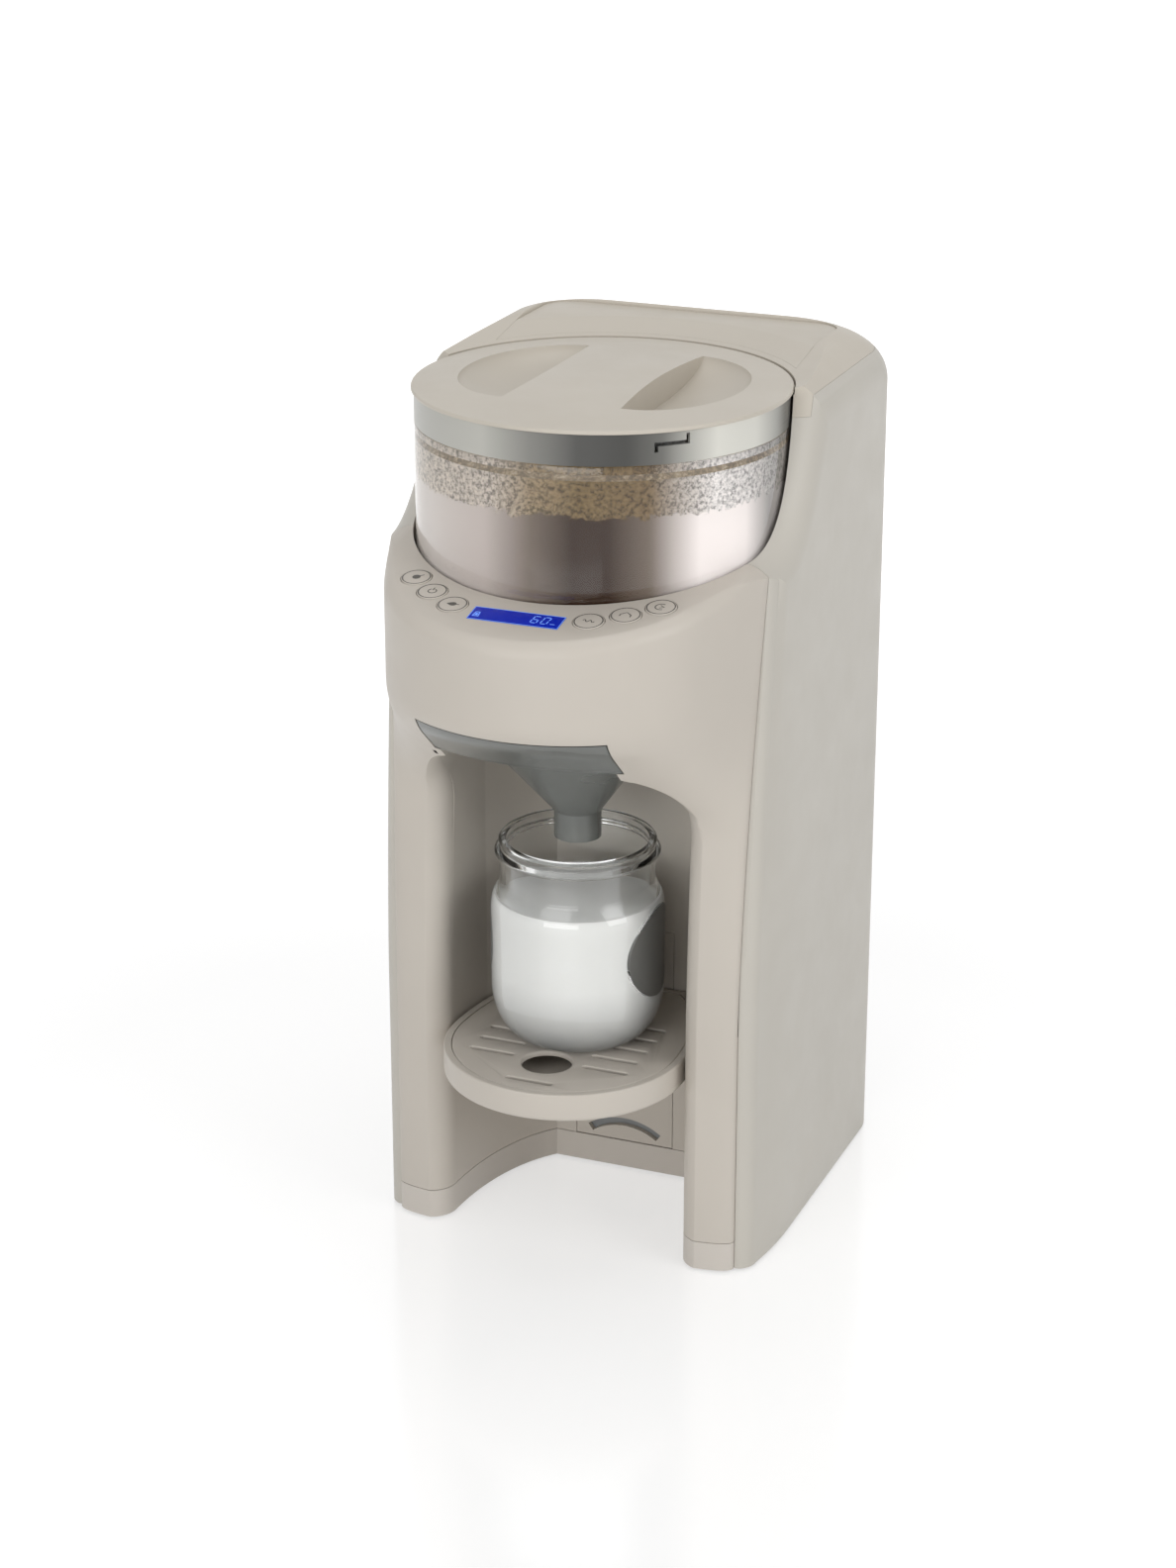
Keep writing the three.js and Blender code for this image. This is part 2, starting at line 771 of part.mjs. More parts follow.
// One ring of the head or legs: heightAt gives the height from the depth
function headRing(level, heightAt, inset, frontInset, backReach) {
  const edge = headEdgeX(level) - inset;
  const seam = seamY(level) - seamStep;
  const share = chinShare(level);
  const right = headOutline(edge, seam, inset + frontInset).map(([x, y]) => {
    const nose = seam - (legNoseDepth - inset) * Math.sqrt(Math.max(0, 1 - (x / edge) ** 6));
    return [x, THREE.MathUtils.lerp(y, nose, share)];
  });
  const left = right.slice(1).map(([x, y]) => [-x, y]).reverse();
  const points = [...left, ...right];
  const close = seamY(level) + backReach;
  points.push([edge, close], [-edge, close]);
  return points.map(([x, y]) => new THREE.Vector3(x, y, heightAt(y)));
}

function headBody(inset, bottom, open) {
  const back = (level) => {
    if (open) return overrun * 2;
    return level <= seamStartHeight ? legTuck : -gap;
  };
  const flatLevels = [bottom, seamStartHeight, seamStartHeight + gap, ...seamLevels.slice(1, -1)];
  const rings = flatLevels.map((z) => headRing(z, () => z, inset, 0, back(z)));
  for (const degrees of [0, 30, 60, 90]) {
    const angle = THREE.MathUtils.degToRad(degrees);
    const drop = panelEdgeRadius * (1 - Math.sin(angle)) + inset;
    const shrink = panelEdgeRadius * (1 - Math.cos(angle));
    const heightAt = (y) => panelZ(y) - drop;
    rings.push(headRing(seamTopHeight - drop, heightAt, inset, shrink, back(seamTopHeight)));
  }
  return loft(rings).intersect(cheekBody(inset));
}

function bayPlan(grow) {
  const start = new THREE.Vector2(bayHalfWidth + grow, frontY + bayWallStartSetback);
  const end = new THREE.Vector2(bayBackHalfWidth + grow, bayBackY + grow);
  const [first, second] = bayCurveShares.map(([across, along]) => new THREE.Vector2(
    THREE.MathUtils.lerp(end.x, start.x, across),
    THREE.MathUtils.lerp(start.y, end.y, along),
  ));
  const wallLine = new THREE.CubicBezierCurve(start, first, second, end).getPoints(curveSteps);
  return mirrored([[bayHalfWidth + grow, frontY - overrun], ...wallLine.map((p) => [p.x, p.y])]);
}

// Rounds the leg's inner front edge on both sides
function legRounding() {
  const noseY = lipY - seamStep - legNoseDepth;
  const radius = legNoseRounding;
  const points = [
    [bayHalfWidth - overrun, noseY - overrun], [bayHalfWidth + radius, noseY - overrun],
    ...arc(bayHalfWidth + radius, noseY + radius, radius, 270, 180, cornerSteps),
    [bayHalfWidth - overrun, noseY + radius],
  ];
  const right = prism(points, -overrun, chinEnd);
  return union(right, right.mirror([1, 0, 0]));
}

function bayArch(grow, y0, y1) {
  const half = bayHalfWidth + grow;
  const top = bayCeiling + grow;
  const radius = bayArchRadius + grow;
  const right = [[half, footLift - overrun], ...arc(half - radius, top - radius, radius, 0, 90, cornerSteps)];
  return prismAlongY(mirrored(right), y0, y1);
}

function bayBody(grow) {
  const outline = prism(bayPlan(grow), footLift - overrun, bayCeiling + grow);
  return outline.intersect(bayArch(grow, frontY - overrun * 2, backY));
}

function funnelSlot(grow) {
  const front = frontY - overrun;
  const back = frontY + funnelSlotBack + grow;
  const riserY = frontY + funnelRiserSetback + grow;
  const half = slotHalf + grow;
  return union(
    box(-half, half, front, back, bayCeiling + wall - grow, funnelSlotTop + grow),
    box(-half, half, front, riserY, bayCeiling + wall - grow, funnelFlangeTop + gap * 2 + grow),
  );
}

// Moves a solid made flat, with its origin on the display's centre, onto the tilted panel
const panelPlace = new THREE.Matrix4().makeRotationX(tilt).setPosition(0, displayY, panelHeight);

function onPanel(geometry) {
  geometry.applyMatrix4(panelPlace);
  return solid(geometry);
}

function panelPoint(reach, angle) {
  const [x, y] = aroundContainer(reach, angle);
  return [x, (y - displayY) / Math.cos(tilt)];
}

function panelCylinder(radius, z0, z1, [x, y], sides) {
  const geometry = new THREE.CylinderGeometry(radius, radius, z1 - z0, sides);
  geometry.rotateX(Math.PI / 2);
  geometry.translate(x, y, (z0 + z1) / 2);
  return geometry;
}

function panelBox(width, height, z0, z1) {
  const geometry = new THREE.BoxGeometry(width, height, z1 - z0);
  geometry.translate(0, 0, (z0 + z1) / 2);
  return geometry;
}

function buttonPlaces() {
  const places = [];
  buttonAngles.forEach((angle, i) => {
    const turn = THREE.MathUtils.degToRad(angle);
    const across = (containerSetback - noseRadius) * Math.sin(turn);
    const outer = (containerSetback - noseRadius) * Math.cos(turn) + Math.sqrt(noseRadius ** 2 - across ** 2);
    const reach = THREE.MathUtils.lerp(pocketRadius, outer, buttonReachShares[i]);
    places.push({ side: 'left', number: i + 1, at: panelPoint(reach, -angle) });
    places.push({ side: 'right', number: i + 1, at: panelPoint(reach, angle) });
  });
  return places;
}

// The head's and legs' skin, open over the bay and the funnel's slot
function frontHousing() {
  const bottom = baseTop + gap;
  const skin = headBody(0, bottom, false).subtract(headBody(wall, bottom - overrun, true));
  const holes = buttonPlaces().map(({ at }) => (
    onPanel(panelCylinder(buttonRadius + gap, -overrun, overrun, at, smallSides))
  ));
  const posts = [-1, 1].map((side) => {
    const at = panelPoint(pocketRadius + boardPostReach, side * boardPostAngle);
    return onPanel(panelCylinder(boardPostRadius, gap - boardDrop, gap - wall, at, tinySides));
  });
  return cut(
    union(skin, ...posts),
    bayBody(wall + gap),
    legRounding(),
    funnelSlot(wall + gap),
    disc(pocketRadius, deckTop, bodyHeight, 0, axisY, fineSides),
    onPanel(panelBox(displayWidth, displayHeight, -overrun, overrun)),
    ...holes,
  );
}

// The bay's arched wall and the funnel's slot over it, flush with the skin in front
function bayLiner() {
  const bottom = baseTop + gap;
  const behind = box(
    -bayHalfWidth - wall * 2, bayHalfWidth + wall * 2, lipY + legTuck - overrun / 2, bayBackY + wall,
    bottom, funnelFlangeTop + overrun,
  );
  const room = union(headBody(0, bottom, false), behind);
  const liner = union(bayBody(wall).intersect(room), funnelSlot(wall).intersect(room));
  const rail = slotHalf - funnelRailOverlap;
  return cut(
    liner,
    box(-bodyWidth, bodyWidth, frontY - overrun, backY, -overrun, bottom),
    bayBody(0),
    legRounding(),
    funnelSlot(0),
    box(-rail, rail, frontY - overrun, frontY + funnelSlotBack - gap, bayCeiling - overrun, bayCeiling + wall + gap),
    box(-plateHalfWidth - gap, plateHalfWidth + gap, bayBackY - gap, bayBackY + wall + gap, 0, plateTop + gap),
    box(
      -outletHalfWidth - chuteWall - gap, outletHalfWidth + chuteWall + gap,
      outletY - outletHalfDepth - chuteWall - gap, outletY + outletHalfDepth + chuteWall + gap,
      funnelSlotTop - gap, funnelSlotTop + wall + gap,
    ),
    disc(nozzleRadius + gap, funnelSlotTop - gap, funnelSlotTop + wall + gap, nozzleX, nozzleY, smallSides),
  );
}

// Base frame: the band under the legs and the bay, with a closed floor inside the shell
function legPlan(inset) {
  const points = headRing(baseTop, () => 0, inset, 0, legTuck - inset);
  return points.map((p) => [p.x, p.y]);
}

function baseFrame() {
  const clear = wall + gap;
  const outline = (inset, z0, z1) => union(
    prism(legPlan(inset), z0, z1),
    prism(shellPlan(clear + inset), z0, z1),
  );
  const outer = cut(outline(0, footLift, baseTop), bayBody(0), legRounding());
  const hollow = cut(outline(wall, baseFloorTop, baseTop + overrun), bayBody(wall));
  const feet = footPlaces().map(([, x, y]) => (
    disc(footRadius + gap, 0, footLift + footSink + gap, x, y, smallSides)
  ));
  const pads = footPlaces().map(([, x, y]) => (
    disc(footRadius + gap + wall / 2, footLift, footLift + footSink + gap + wall / 2, x, y, smallSides)
  ));
  const bosses = screwPlaces().map(([, x, y]) => (
    disc(screwHeadRadius + wall / 2, footLift, footLift + screwLength + wall, x, y, smallSides)
  ));
  const bores = screwPlaces().flatMap(([, x, y]) => [
    disc(screwShankRadius + gap, 0, footLift + screwLength + gap, x, y, tinySides),
    disc(screwHeadRadius + gap, 0, footLift + screwHeadHeight + gap, x, y, smallSides),
  ]);
  const insideWalls = cut(union(...pads, ...bosses), bayBody(0)).intersect(outer);
  return cut(union(cut(outer, hollow), insideWalls), ...feet, ...bores);
}

function footPlaces() {
  return [
    ['front_left', -frontFootX, frontFootY], ['front_right', frontFootX, frontFootY],
    ['rear_left', -rearFootX, rearFootY], ['rear_right', rearFootX, rearFootY],
  ];
}

function screwPlaces() {
  return [
    ['front_left', -screwX, frontScrewY], ['front_right', screwX, frontScrewY],
    ['rear_left', -screwX, rearScrewY], ['rear_right', screwX, rearScrewY],
  ];
}

function foot(x, y) {
  return disc(footRadius, 0, footLift + footSink, x, y, smallSides);
}

function baseScrew(x, y) {
  const start = footLift;
  return union(
    disc(screwHeadRadius, start, start + screwHeadHeight, x, y, smallSides),
    disc(screwShankRadius, start, start + screwLength, x, y, tinySides),
  );
}

// Arched slot that the drip tray's tongue goes into
function slotOutline(height, grow) {
  const half = slotThickness / 2 + grow;
  const spread = slotHalfAngle + THREE.MathUtils.radToDeg(grow / slotRadius);
  const centreZ = height - slotRadius;
  return [
    ...arc(0, centreZ, slotRadius + half, 90 - spread, 90 + spread, curveSteps),
    ...arc(0, centreZ, slotRadius - half, 90 + spread, 90 - spread, curveSteps),
  ];
}

function bayBackPlate() {
  const slots = Array.from({ length: slotCount }, (_, i) => {
    const outline = slotOutline(tongueHeight + slotThickness / 2 - i * slotPitch, slotClearance);
    return prismAlongY(outline, bayBackY - overrun, bayBackY + wall + overrun);
  });
  const plate = box(-plateHalfWidth, plateHalfWidth, bayBackY, bayBackY + wall, plateBottom, plateTop);
  return cut(plate, ...slots);
}

function containerWell() {
  const floor = disc(wellRadius, deckTop - deckThickness, deckTop, 0, axisY, fineSides);
  const side = ring(wellRadius, pocketRadius, deckTop - deckThickness, wellWallTop, 0, axisY, fineSides);
  return cut(
    union(floor, side),
    disc(shaftRadius + shaftHoleClearance, deckTop - overrun, deckTop + overrun, 0, axisY, smallSides),
    box(
      -outletHalfWidth, outletHalfWidth, outletY - outletHalfDepth, outletY + outletHalfDepth,
      deckTop - overrun, deckTop + overrun,
    ),
  );
}

function chassis() {
  const plate = box(-chassisHalfWidth, chassisHalfWidth, chassisY, chassisBack, baseFloorTop + gap, chassisTop);
  const tankShelf = box(
    -tankShelfHalfWidth, tankShelfHalfWidth, chassisY, backY - tankShelfBackInset,
    tankShelfTop - shelfThickness, tankShelfTop,
  );
  const motorShelf = box(
    -motorShelfHalfWidth, motorShelfHalfWidth, chassisY, pinionY + motorRadius + motorShelfMargin,
    motorBottom - gap - shelfThickness, motorBottom - gap,
  );
  return cut(
    union(plate, tankShelf, motorShelf),
    disc(cupRadius + gap, tankShelfTop - overrun, tankShelfTop + overrun, valveX, valveY, midSides),
  );
}

// Powder container, its lid and what is inside
function powderContainer() {
  const profile = [
    [0, containerBottom], [containerRadius, containerBottom], [containerRadius, skirtBottom - gap],
    [neckRadius, skirtBottom - gap], [neckRadius, neckTop], [neckRadius - containerWall, neckTop],
    [neckRadius - containerWall, skirtBottom - gap - containerWall * 2],
    [containerInner, skirtBottom - gap - containerWall * 3],
    [containerInner, containerBottom + containerFloor], [0, containerBottom + containerFloor],
  ];
  return cut(
    turned(profile, 0, axisY, fineSides),
    disc(shaftRadius + shaftHoleClearance, deckTop - overrun, wheelTop, 0, axisY, smallSides),
    box(
      -outletHalfWidth, outletHalfWidth, outletY - outletHalfDepth, outletY + outletHalfDepth,
      deckTop - overrun, wheelBottom + gap,
    ),
  );
}

// An ellipsoid beside the grip bar, cut straight by the bar's wall
function scoop(side, grow) {
  const geometry = new THREE.SphereGeometry(1, fineSides / 2, smallSides);
  geometry.rotateX(Math.PI / 2);
  geometry.scale(scoopRadiusX + grow, scoopRadiusY + grow, scoopDepth + grow);
  geometry.translate(side * gripHalfWidth, axisY, lidTop);
  const inner = gripHalfWidth - grow;
  const outer = lidRadius;
  const x0 = side > 0 ? inner : -outer;
  const x1 = side > 0 ? outer : -inner;
  const half = box(x0, x1, axisY - lidRadius, axisY + lidRadius, lidTop - scoopDepth * 2, lidTop + scoopDepth);
  return solid(geometry).intersect(half);
}

function containerLid() {
  const inner = neckRadius - containerWall - lidLipClearance;
  const plate = union(
    disc(lidRadius, lidUnder, lidTop, 0, axisY, fineSides),
    disc(inner, lidTop - lidPlate, lidTop - gap, 0, axisY, fineSides),
    ring(inner, inner - lidLipWall, lidUnder - lidLipHeight, lidTop - lidPlate, 0, axisY, fineSides),
  );
  const bowls = [-1, 1].map((side) => scoop(side, scoopSkin));
  const below = box(-lidRadius, lidRadius, axisY - lidRadius, axisY + lidRadius, deckTop, lidTop - gap);
  const full = union(plate, ...bowls.map((bowl) => bowl.intersect(below)));
  return cut(full, scoop(-1, 0), scoop(1, 0));
}

function lidSkirt() {
  const top = skirtBottom + skirtHeight;
  const band = ring(containerRadius, neckRadius + gap, skirtBottom, top, 0, axisY, fineSides);
  const mid = top - notchDrop;
  const run = THREE.MathUtils.radToDeg(notchRun / containerRadius);
  const slice = (from, to, z0, z1) => {
    const inner = arc(0, 0, neckRadius - overrun, from, to, 2);
    const outer = arc(0, 0, containerRadius + overrun, from, to, 2).reverse();
    const points = [...inner, ...outer].map(([x, y]) => [x, y + axisY]);
    return prism(points, z0, z1);
  };
  const start = notchAngle - 90;
  const width = THREE.MathUtils.radToDeg(notchWidth / containerRadius);
  return cut(
    band,
    slice(start - run, start, mid - notchWidth / 2, mid + notchWidth / 2),
    slice(start - width, start, mid, top - notchWidth / 2),
    slice(start - run, start - run + width, mid - notchHook, mid),
  );
}

function lidGasket() {
  const bottom = neckTop + gap;
  return ring(neckRadius, neckRadius - gasketWidth, bottom, bottom + gasketThickness, 0, axisY, fineSides);
}

function formulaPowder() {
  const radius = containerInner - powderClearance;
  return disc(radius, stirrerTop + gap, powderTop, 0, axisY, fineSides);
}

function dosingWheel() {
  const radius = containerInner - wheelClearance;
  const pockets = Array.from({ length: wheelPocketCount }, (_, i) => {
    const [x, y] = aroundContainer(outletReach, 360 * (i + 0.5) / wheelPocketCount);
    return disc(wheelPocketRadius, wheelBottom - overrun, wheelTop + overrun, x, y, smallSides);
  });
  const shaft = disc(shaftRadius, deckTop - deckThickness - socketDepth, wheelTop, 0, axisY, 6);
  const hub = disc(stirrerHubRadius, wheelBottom, stirrerBottom - gap, 0, axisY, smallSides);
  const stub = disc(shaftRadius, wheelBottom, stirrerTop - gap, 0, axisY, 6);
  return union(cut(disc(radius, wheelBottom, wheelTop, 0, axisY, fineSides), ...pockets), shaft, hub, stub);
}

function scraper() {
  const outer = containerInner - gap;
  const bottom = wheelTop + gap;
  const bar = box(-scraperHalfWidth, scraperHalfWidth, axisY - outer, axisY - scraperInner, bottom, scraperTop);
  return bar.intersect(disc(outer, bottom - gap, scraperTop + gap, 0, axisY, fineSides));
}

function stirrer() {
  const reach = containerInner - stirrerWallClearance;
  const arms = Array.from({ length: stirrerArmCount }, (_, i) => {
    const geometry = new THREE.BoxGeometry(stirrerArmWidth, reach, stirrerHeight / 2);
    geometry.translate(0, reach / 2, 0);
    geometry.rotateZ(Math.PI * 2 * i / stirrerArmCount);
    geometry.translate(0, axisY, stirrerBottom + stirrerHeight / 4);
    return solid(geometry);
  });
  const hub = disc(stirrerHubRadius, stirrerBottom, stirrerTop, 0, axisY, smallSides);
  const bore = disc(shaftRadius + gap, stirrerBottom - overrun, stirrerTop + overrun, 0, axisY, 6);
  return cut(union(hub, ...arms), bore);
}

// A spur gear's outline with straight-sided teeth; one tooth points along the given angle
function gearOutline(teeth, pitchRadius, pointAngle, x, y) {
  const tip = pitchRadius + gearModule * toothTipShare;
  const root = pitchRadius - gearModule * toothRootShare;
  const step = 360 / teeth;
  const [wide, narrow] = toothWidthShares;
  const points = [];
  for (let i = 0; i < teeth; i += 1) {
    const centre = pointAngle + step * i;
    for (const [radius, offset] of [[root, -wide], [tip, -narrow], [tip, narrow], [root, wide]]) {
      const angle = THREE.MathUtils.degToRad(centre + step * offset);
      points.push([x + radius * Math.cos(angle), y + radius * Math.sin(angle)]);
    }
  }
  return points;
}

function driveGear() {
  const bottom = gearTop - gearThickness;
  const hubTop = deckTop - deckThickness - gap;
  return cut(
    union(
      prism(gearOutline(gearTeeth, gearPitch, 90, 0, axisY), bottom, gearTop),
      disc(gearHubRadius, bottom, hubTop, 0, axisY, smallSides),
    ),
    disc(shaftRadius + socketClearance, hubTop - socketDepth, hubTop + overrun, 0, axisY, 6),
  );
}

function motorPinion() {
  const bottom = gearTop - gearThickness;
  const offset = 90 + 180 + 360 / pinionTeeth / 2;
  return prism(gearOutline(pinionTeeth, pinionPitch, offset, 0, pinionY), bottom, gearTop);
}

function wheelMotor() {
  const top = gearTop - gearThickness - pinionLift;
  return disc(motorRadius, motorBottom, top, 0, pinionY, midSides);
}

function powderChute() {
  const top = deckTop - deckThickness - gap;
  const frame = (grow, z0, z1) => box(
    -outletHalfWidth - grow, outletHalfWidth + grow, outletY - outletHalfDepth - grow,
    outletY + outletHalfDepth + grow, z0, z1,
  );
  return cut(
    union(frame(chuteWall, chuteEnd, top), frame(chuteWall + chuteFlange, top - chuteFlangeThickness, top)),
    frame(0, chuteEnd - overrun, top + overrun),
  );
}

// Funnel: a flange flush with the chin, a frame that slides on the bay's ceiling, and a cone
function ovalRing(halfWidthX, halfDepthY, y, z) {
  return Array.from({ length: midSides }, (_, i) => {
    const angle = Math.PI * 2 * i / midSides;
    return new THREE.Vector3(halfWidthX * Math.cos(angle), y + halfDepthY * Math.sin(angle), z);
  });
}

function funnelCone(inset, bottom, top) {
  const mouthY = frontY + funnelMouthSetback;
  const mouth = (z) => ovalRing(funnelMouthHalfWidth - inset, funnelMouthHalfDepth - inset, mouthY, z);
  const throat = (z) => ovalRing(spoutRadius - inset, spoutRadius - inset, bottleY, z);
  return loft([throat(bottom), throat(funnelConeBottom), mouth(funnelFrameBottom - funnelWall), mouth(top)]);
}

function funnel() {
  const head = headBody(gap, chinEnd - overrun * 2, false);
  const flangeSkin = head.subtract(headBody(funnelFlangeThickness + gap, chinEnd - overrun * 3, true));
  const flange = flangeSkin.intersect(box(
    -funnelHalfWidth, funnelHalfWidth, frontY - overrun, frontY + funnelRiserSetback,
    funnelFrameBottom, funnelFlangeTop,
  ));
  const frameBox = box(-funnelHalfWidth, funnelHalfWidth, frontY, funnelBackY, funnelFrameBottom, funnelFrameTop);
  const behind = box(
    -funnelHalfWidth, funnelHalfWidth, frontY + funnelRiserSetback, funnelBackY, funnelFrameBottom, funnelFrameTop,
  );
  const frame = union(frameBox.intersect(head), behind);
  return cut(
    union(flange, frame, funnelCone(0, spoutEnd, funnelFrameTop)),
    funnelCone(funnelWall, spoutEnd - overrun, funnelFrameTop + overrun),
  );
}

function funnelSensor() {
  const bottom = funnelSlotTop + wall + gap;
  return box(
    -nozzleX - sensorHalfWidth, -nozzleX + sensorHalfWidth, nozzleY - sensorHalfDepth, nozzleY + sensorHalfDepth,
    bottom, bottom + sensorHeight,
  );
}

// Water tank, its lid and valve
function waterTank() {
  const outer = prism(tankPlan(0), tankBottom, tankTop);
  const inner = prism(tankPlan(-tankWall), tankBottom + tankWall, tankTop + overrun);
  const spigot = disc(spigotRadius, tankBottom - spigotLength, tankBottom + tankWall, valveX, valveY, midSides);
  const bore = disc(
    spigotBore, tankBottom - spigotLength - overrun, tankBottom + tankWall + overrun, valveX, valveY, midSides,
  );
  return cut(union(cut(outer, inner), spigot), bore);
}

function tankLid() {
  const top = bodyHeight - tankLidRecess;
  const outer = prism(tankPlan(0), tankTop + gap, top);
  const inner = prism(tankPlan(-tankWall), tankTop, top - tankLidPlate);
  return cut(outer, inner);
}

function tankValve() {
  const seat = tankBottom + tankWall + gap;
  return union(
    disc(valveHeadRadius, seat, seat + valveHeadHeight, valveX, valveY, midSides),
    disc(valveStemRadius, tankBottom - spigotLength, seat + gap, valveX, valveY, tinySides),
  );
}

function valveSocket() {
  const top = tankShelfTop;
  const bottom = top - cupDepth;
  const cup = disc(cupRadius, bottom, top, valveX, valveY, midSides);
  const bowl = disc(cupRadius - cupWall, bottom + cupWall * 2, top + overrun, valveX, valveY, midSides);
  const pin = disc(valveStemRadius, bottom, tankBottom - spigotLength - gap, valveX, valveY, tinySides);
  return union(cut(cup, bowl), pin);
}

// Pump, flow valve and heater stand on the base and pass the water on at one height
function pumpBody() {
  const bottom = baseFloorTop + gap;
  const chamberBottom = bottom + pumpChamberLift;
  const chamberTop = chamberBottom + pumpChamberHeight;
  const port = box(
    pumpX, pumpX + pumpRadius + portReach, waterLineY - portHalf, waterLineY + portHalf,
    waterLineZ - portHalf, waterLineZ + portHalf,
  );
  const inlet = disc(tubeRadius / 2, chamberTop - gap, bottom + pumpHeight + overrun, pumpX, pumpY, tinySides);
  return cut(
    union(disc(pumpRadius, bottom, bottom + pumpHeight, pumpX, pumpY, midSides), port),
    disc(pumpChamberRadius, chamberBottom, chamberTop, pumpX, pumpY, midSides),
    inlet,
  );
}

function pumpRotor() {
  const bottom = baseFloorTop + gap + pumpChamberLift + rotorClearance / 2;
  const top = bottom + pumpChamberHeight - rotorClearance;
  const blades = Array.from({ length: rotorBladeCount }, (_, i) => {
    const geometry = new THREE.BoxGeometry(rotorBladeWidth, rotorRadius, top - bottom);
    geometry.translate(0, rotorRadius / 2, 0);
    geometry.rotateZ(Math.PI * 2 * i / rotorBladeCount);
    geometry.translate(pumpX, pumpY, (bottom + top) / 2);
    return solid(geometry);
  });
  return union(disc(rotorHubRadius, bottom, top, pumpX, pumpY, tinySides), ...blades);
}

function flowValve() {
  const bottom = baseFloorTop + gap;
  const block = box(
    -flowValveHalf, flowValveHalf, waterLineY - flowValveHalf, waterLineY + flowValveHalf,
    bottom, bottom + flowValveHeight,
  );
  const coil = disc(
    flowValveHalf - wall, bottom + flowValveHeight - gap, bottom + flowValveHeight * 1.5, 0, waterLineY, midSides,
  );
  return union(block, coil);
}

function heater() {
  const bottom = baseFloorTop + gap;
  const block = box(
    heaterX - heaterHalfWidth, heaterX + heaterHalfWidth, heaterY - heaterHalfDepth, heaterY + heaterHalfDepth,
    bottom, bottom + heaterHeight,
  );
  const grooves = [1, 2, 3, 4].map((i) => {
    const z = bottom + heaterHeight * i / 5;
    const x = heaterX + heaterHalfWidth;
    return box(x - wall, x + overrun, heaterY - heaterHalfDepth - overrun, heaterY + heaterHalfDepth + overrun, z, z + wall);
  });
  return cut(block, ...grooves);
}

function tube(points) {
  const path = points.length > 2
    ? new THREE.CatmullRomCurve3(points, false, 'centripetal')
    : new THREE.LineCurve3(...points);
  const section = new THREE.Shape(Array.from({ length: 8 }, (_, i) => {
    const angle = Math.PI * 2 * i / 8;
    return new THREE.Vector2(tubeRadius * Math.cos(angle), tubeRadius * Math.sin(angle));
  }));
  const steps = points.length > 2 ? Math.round(path.getLength() / tubeRadius / 4) : 1;
  return solid(new THREE.ExtrudeGeometry(section, { steps, extrudePath: path, bevelEnabled: false }));
}

function point(x, y, z) {
  return new THREE.Vector3(x, y, z);
}

function tankTube() {
  const top = tankShelfTop - cupDepth - gap;
  const bottom = baseFloorTop + gap + pumpHeight + gap;
  const lead = tubeRadius * 2;
  return tube([
    point(valveX, valveY, top), point(valveX, valveY, top - lead),
    point((valveX + pumpX) / 2, (valveY + pumpY) / 2, (top + bottom) / 2),
    point(pumpX, pumpY, bottom + lead), point(pumpX, pumpY, bottom),
  ]);
}

function pumpTube() {
  const start = pumpX + pumpRadius + portReach + gap;
  return tube([point(start, waterLineY, waterLineZ), point(-flowValveHalf - gap, waterLineY, waterLineZ)]);
}

function heaterTube() {
  const end = heaterX - heaterHalfWidth - gap;
  return tube([point(flowValveHalf + gap, waterLineY, waterLineZ), point(end, waterLineY, waterLineZ)]);
}

// From the heater, up beside the tank shelf and forward over the bay to the nozzle
function nozzleTube() {
  const start = baseFloorTop + gap + heaterHeight + gap;
  const lead = tubeRadius * 2;
  const aside = tankShelfHalfWidth + tubeRadius * 3;
  const end = nozzleX + nozzleHalf + gap;
  return tube([
    point(heaterX, heaterY, start), point(heaterX, heaterY, start + lead),
    point((heaterX + aside) / 2, heaterY - lead, start + lead * 3),
    point(aside, heaterY / 2, tankShelfTop + lead),
    point(aside, lead, (tankShelfTop + tubeZ) / 2),
    point(aside - lead, -lead * 3, (tankShelfTop + tubeZ * 3) / 4),
    point(bayHalfWidth, (axisY + nozzleY) / 2 - lead, tubeZ - lead / 2),
    point(end + lead * 3, nozzleY, tubeZ), point(end + lead, nozzleY, tubeZ), point(end, nozzleY, tubeZ),
  ]);
}

function waterNozzle() {
  const bottom = funnelSlotTop + wall + gap;
  const body = box(
    nozzleX - nozzleHalf, nozzleX + nozzleHalf, nozzleY - nozzleHalf, nozzleY + nozzleHalf,
    bottom, bottom + nozzleHeight,
  );
  const pipe = disc(nozzleRadius, funnelSlotTop - nozzleReach / 2, bottom + gap, nozzleX, nozzleY, smallSides);
  const bore = disc(nozzleBore, funnelSlotTop - nozzleReach, tubeZ, nozzleX, nozzleY, tinySides);
  return cut(union(body, pipe), bore);
}

// Controls
function controlBoard() {
  const inner = pocketRadius + boardInnerReach;
  const outer = pocketRadius + boardOuterReach;
  const steps = curveSteps + 1;
  const angles = Array.from({ length: steps + 1 }, (_, i) => -boardHalfAngle + 2 * boardHalfAngle * i / steps);
  const outline = [
    ...angles.map((angle) => panelPoint(outer, angle)),
    ...angles.map((angle) => panelPoint(inner, angle)).reverse(),
  ];
  const shape = new THREE.Shape(outline.map(([x, y]) => new THREE.Vector2(x, y)));
  const plate = new THREE.ExtrudeGeometry(shape, { depth: boardThickness, bevelEnabled: false });
  plate.translate(0, 0, -boardDrop - boardThickness);
  const switches = buttonPlaces().map(({ at }) => (
    onPanel(panelCylinder(switchRadius, -boardDrop - gap, -boardDrop + switchHeight, at, tinySides))
  ));
  return union(onPanel(plate), ...switches);
}

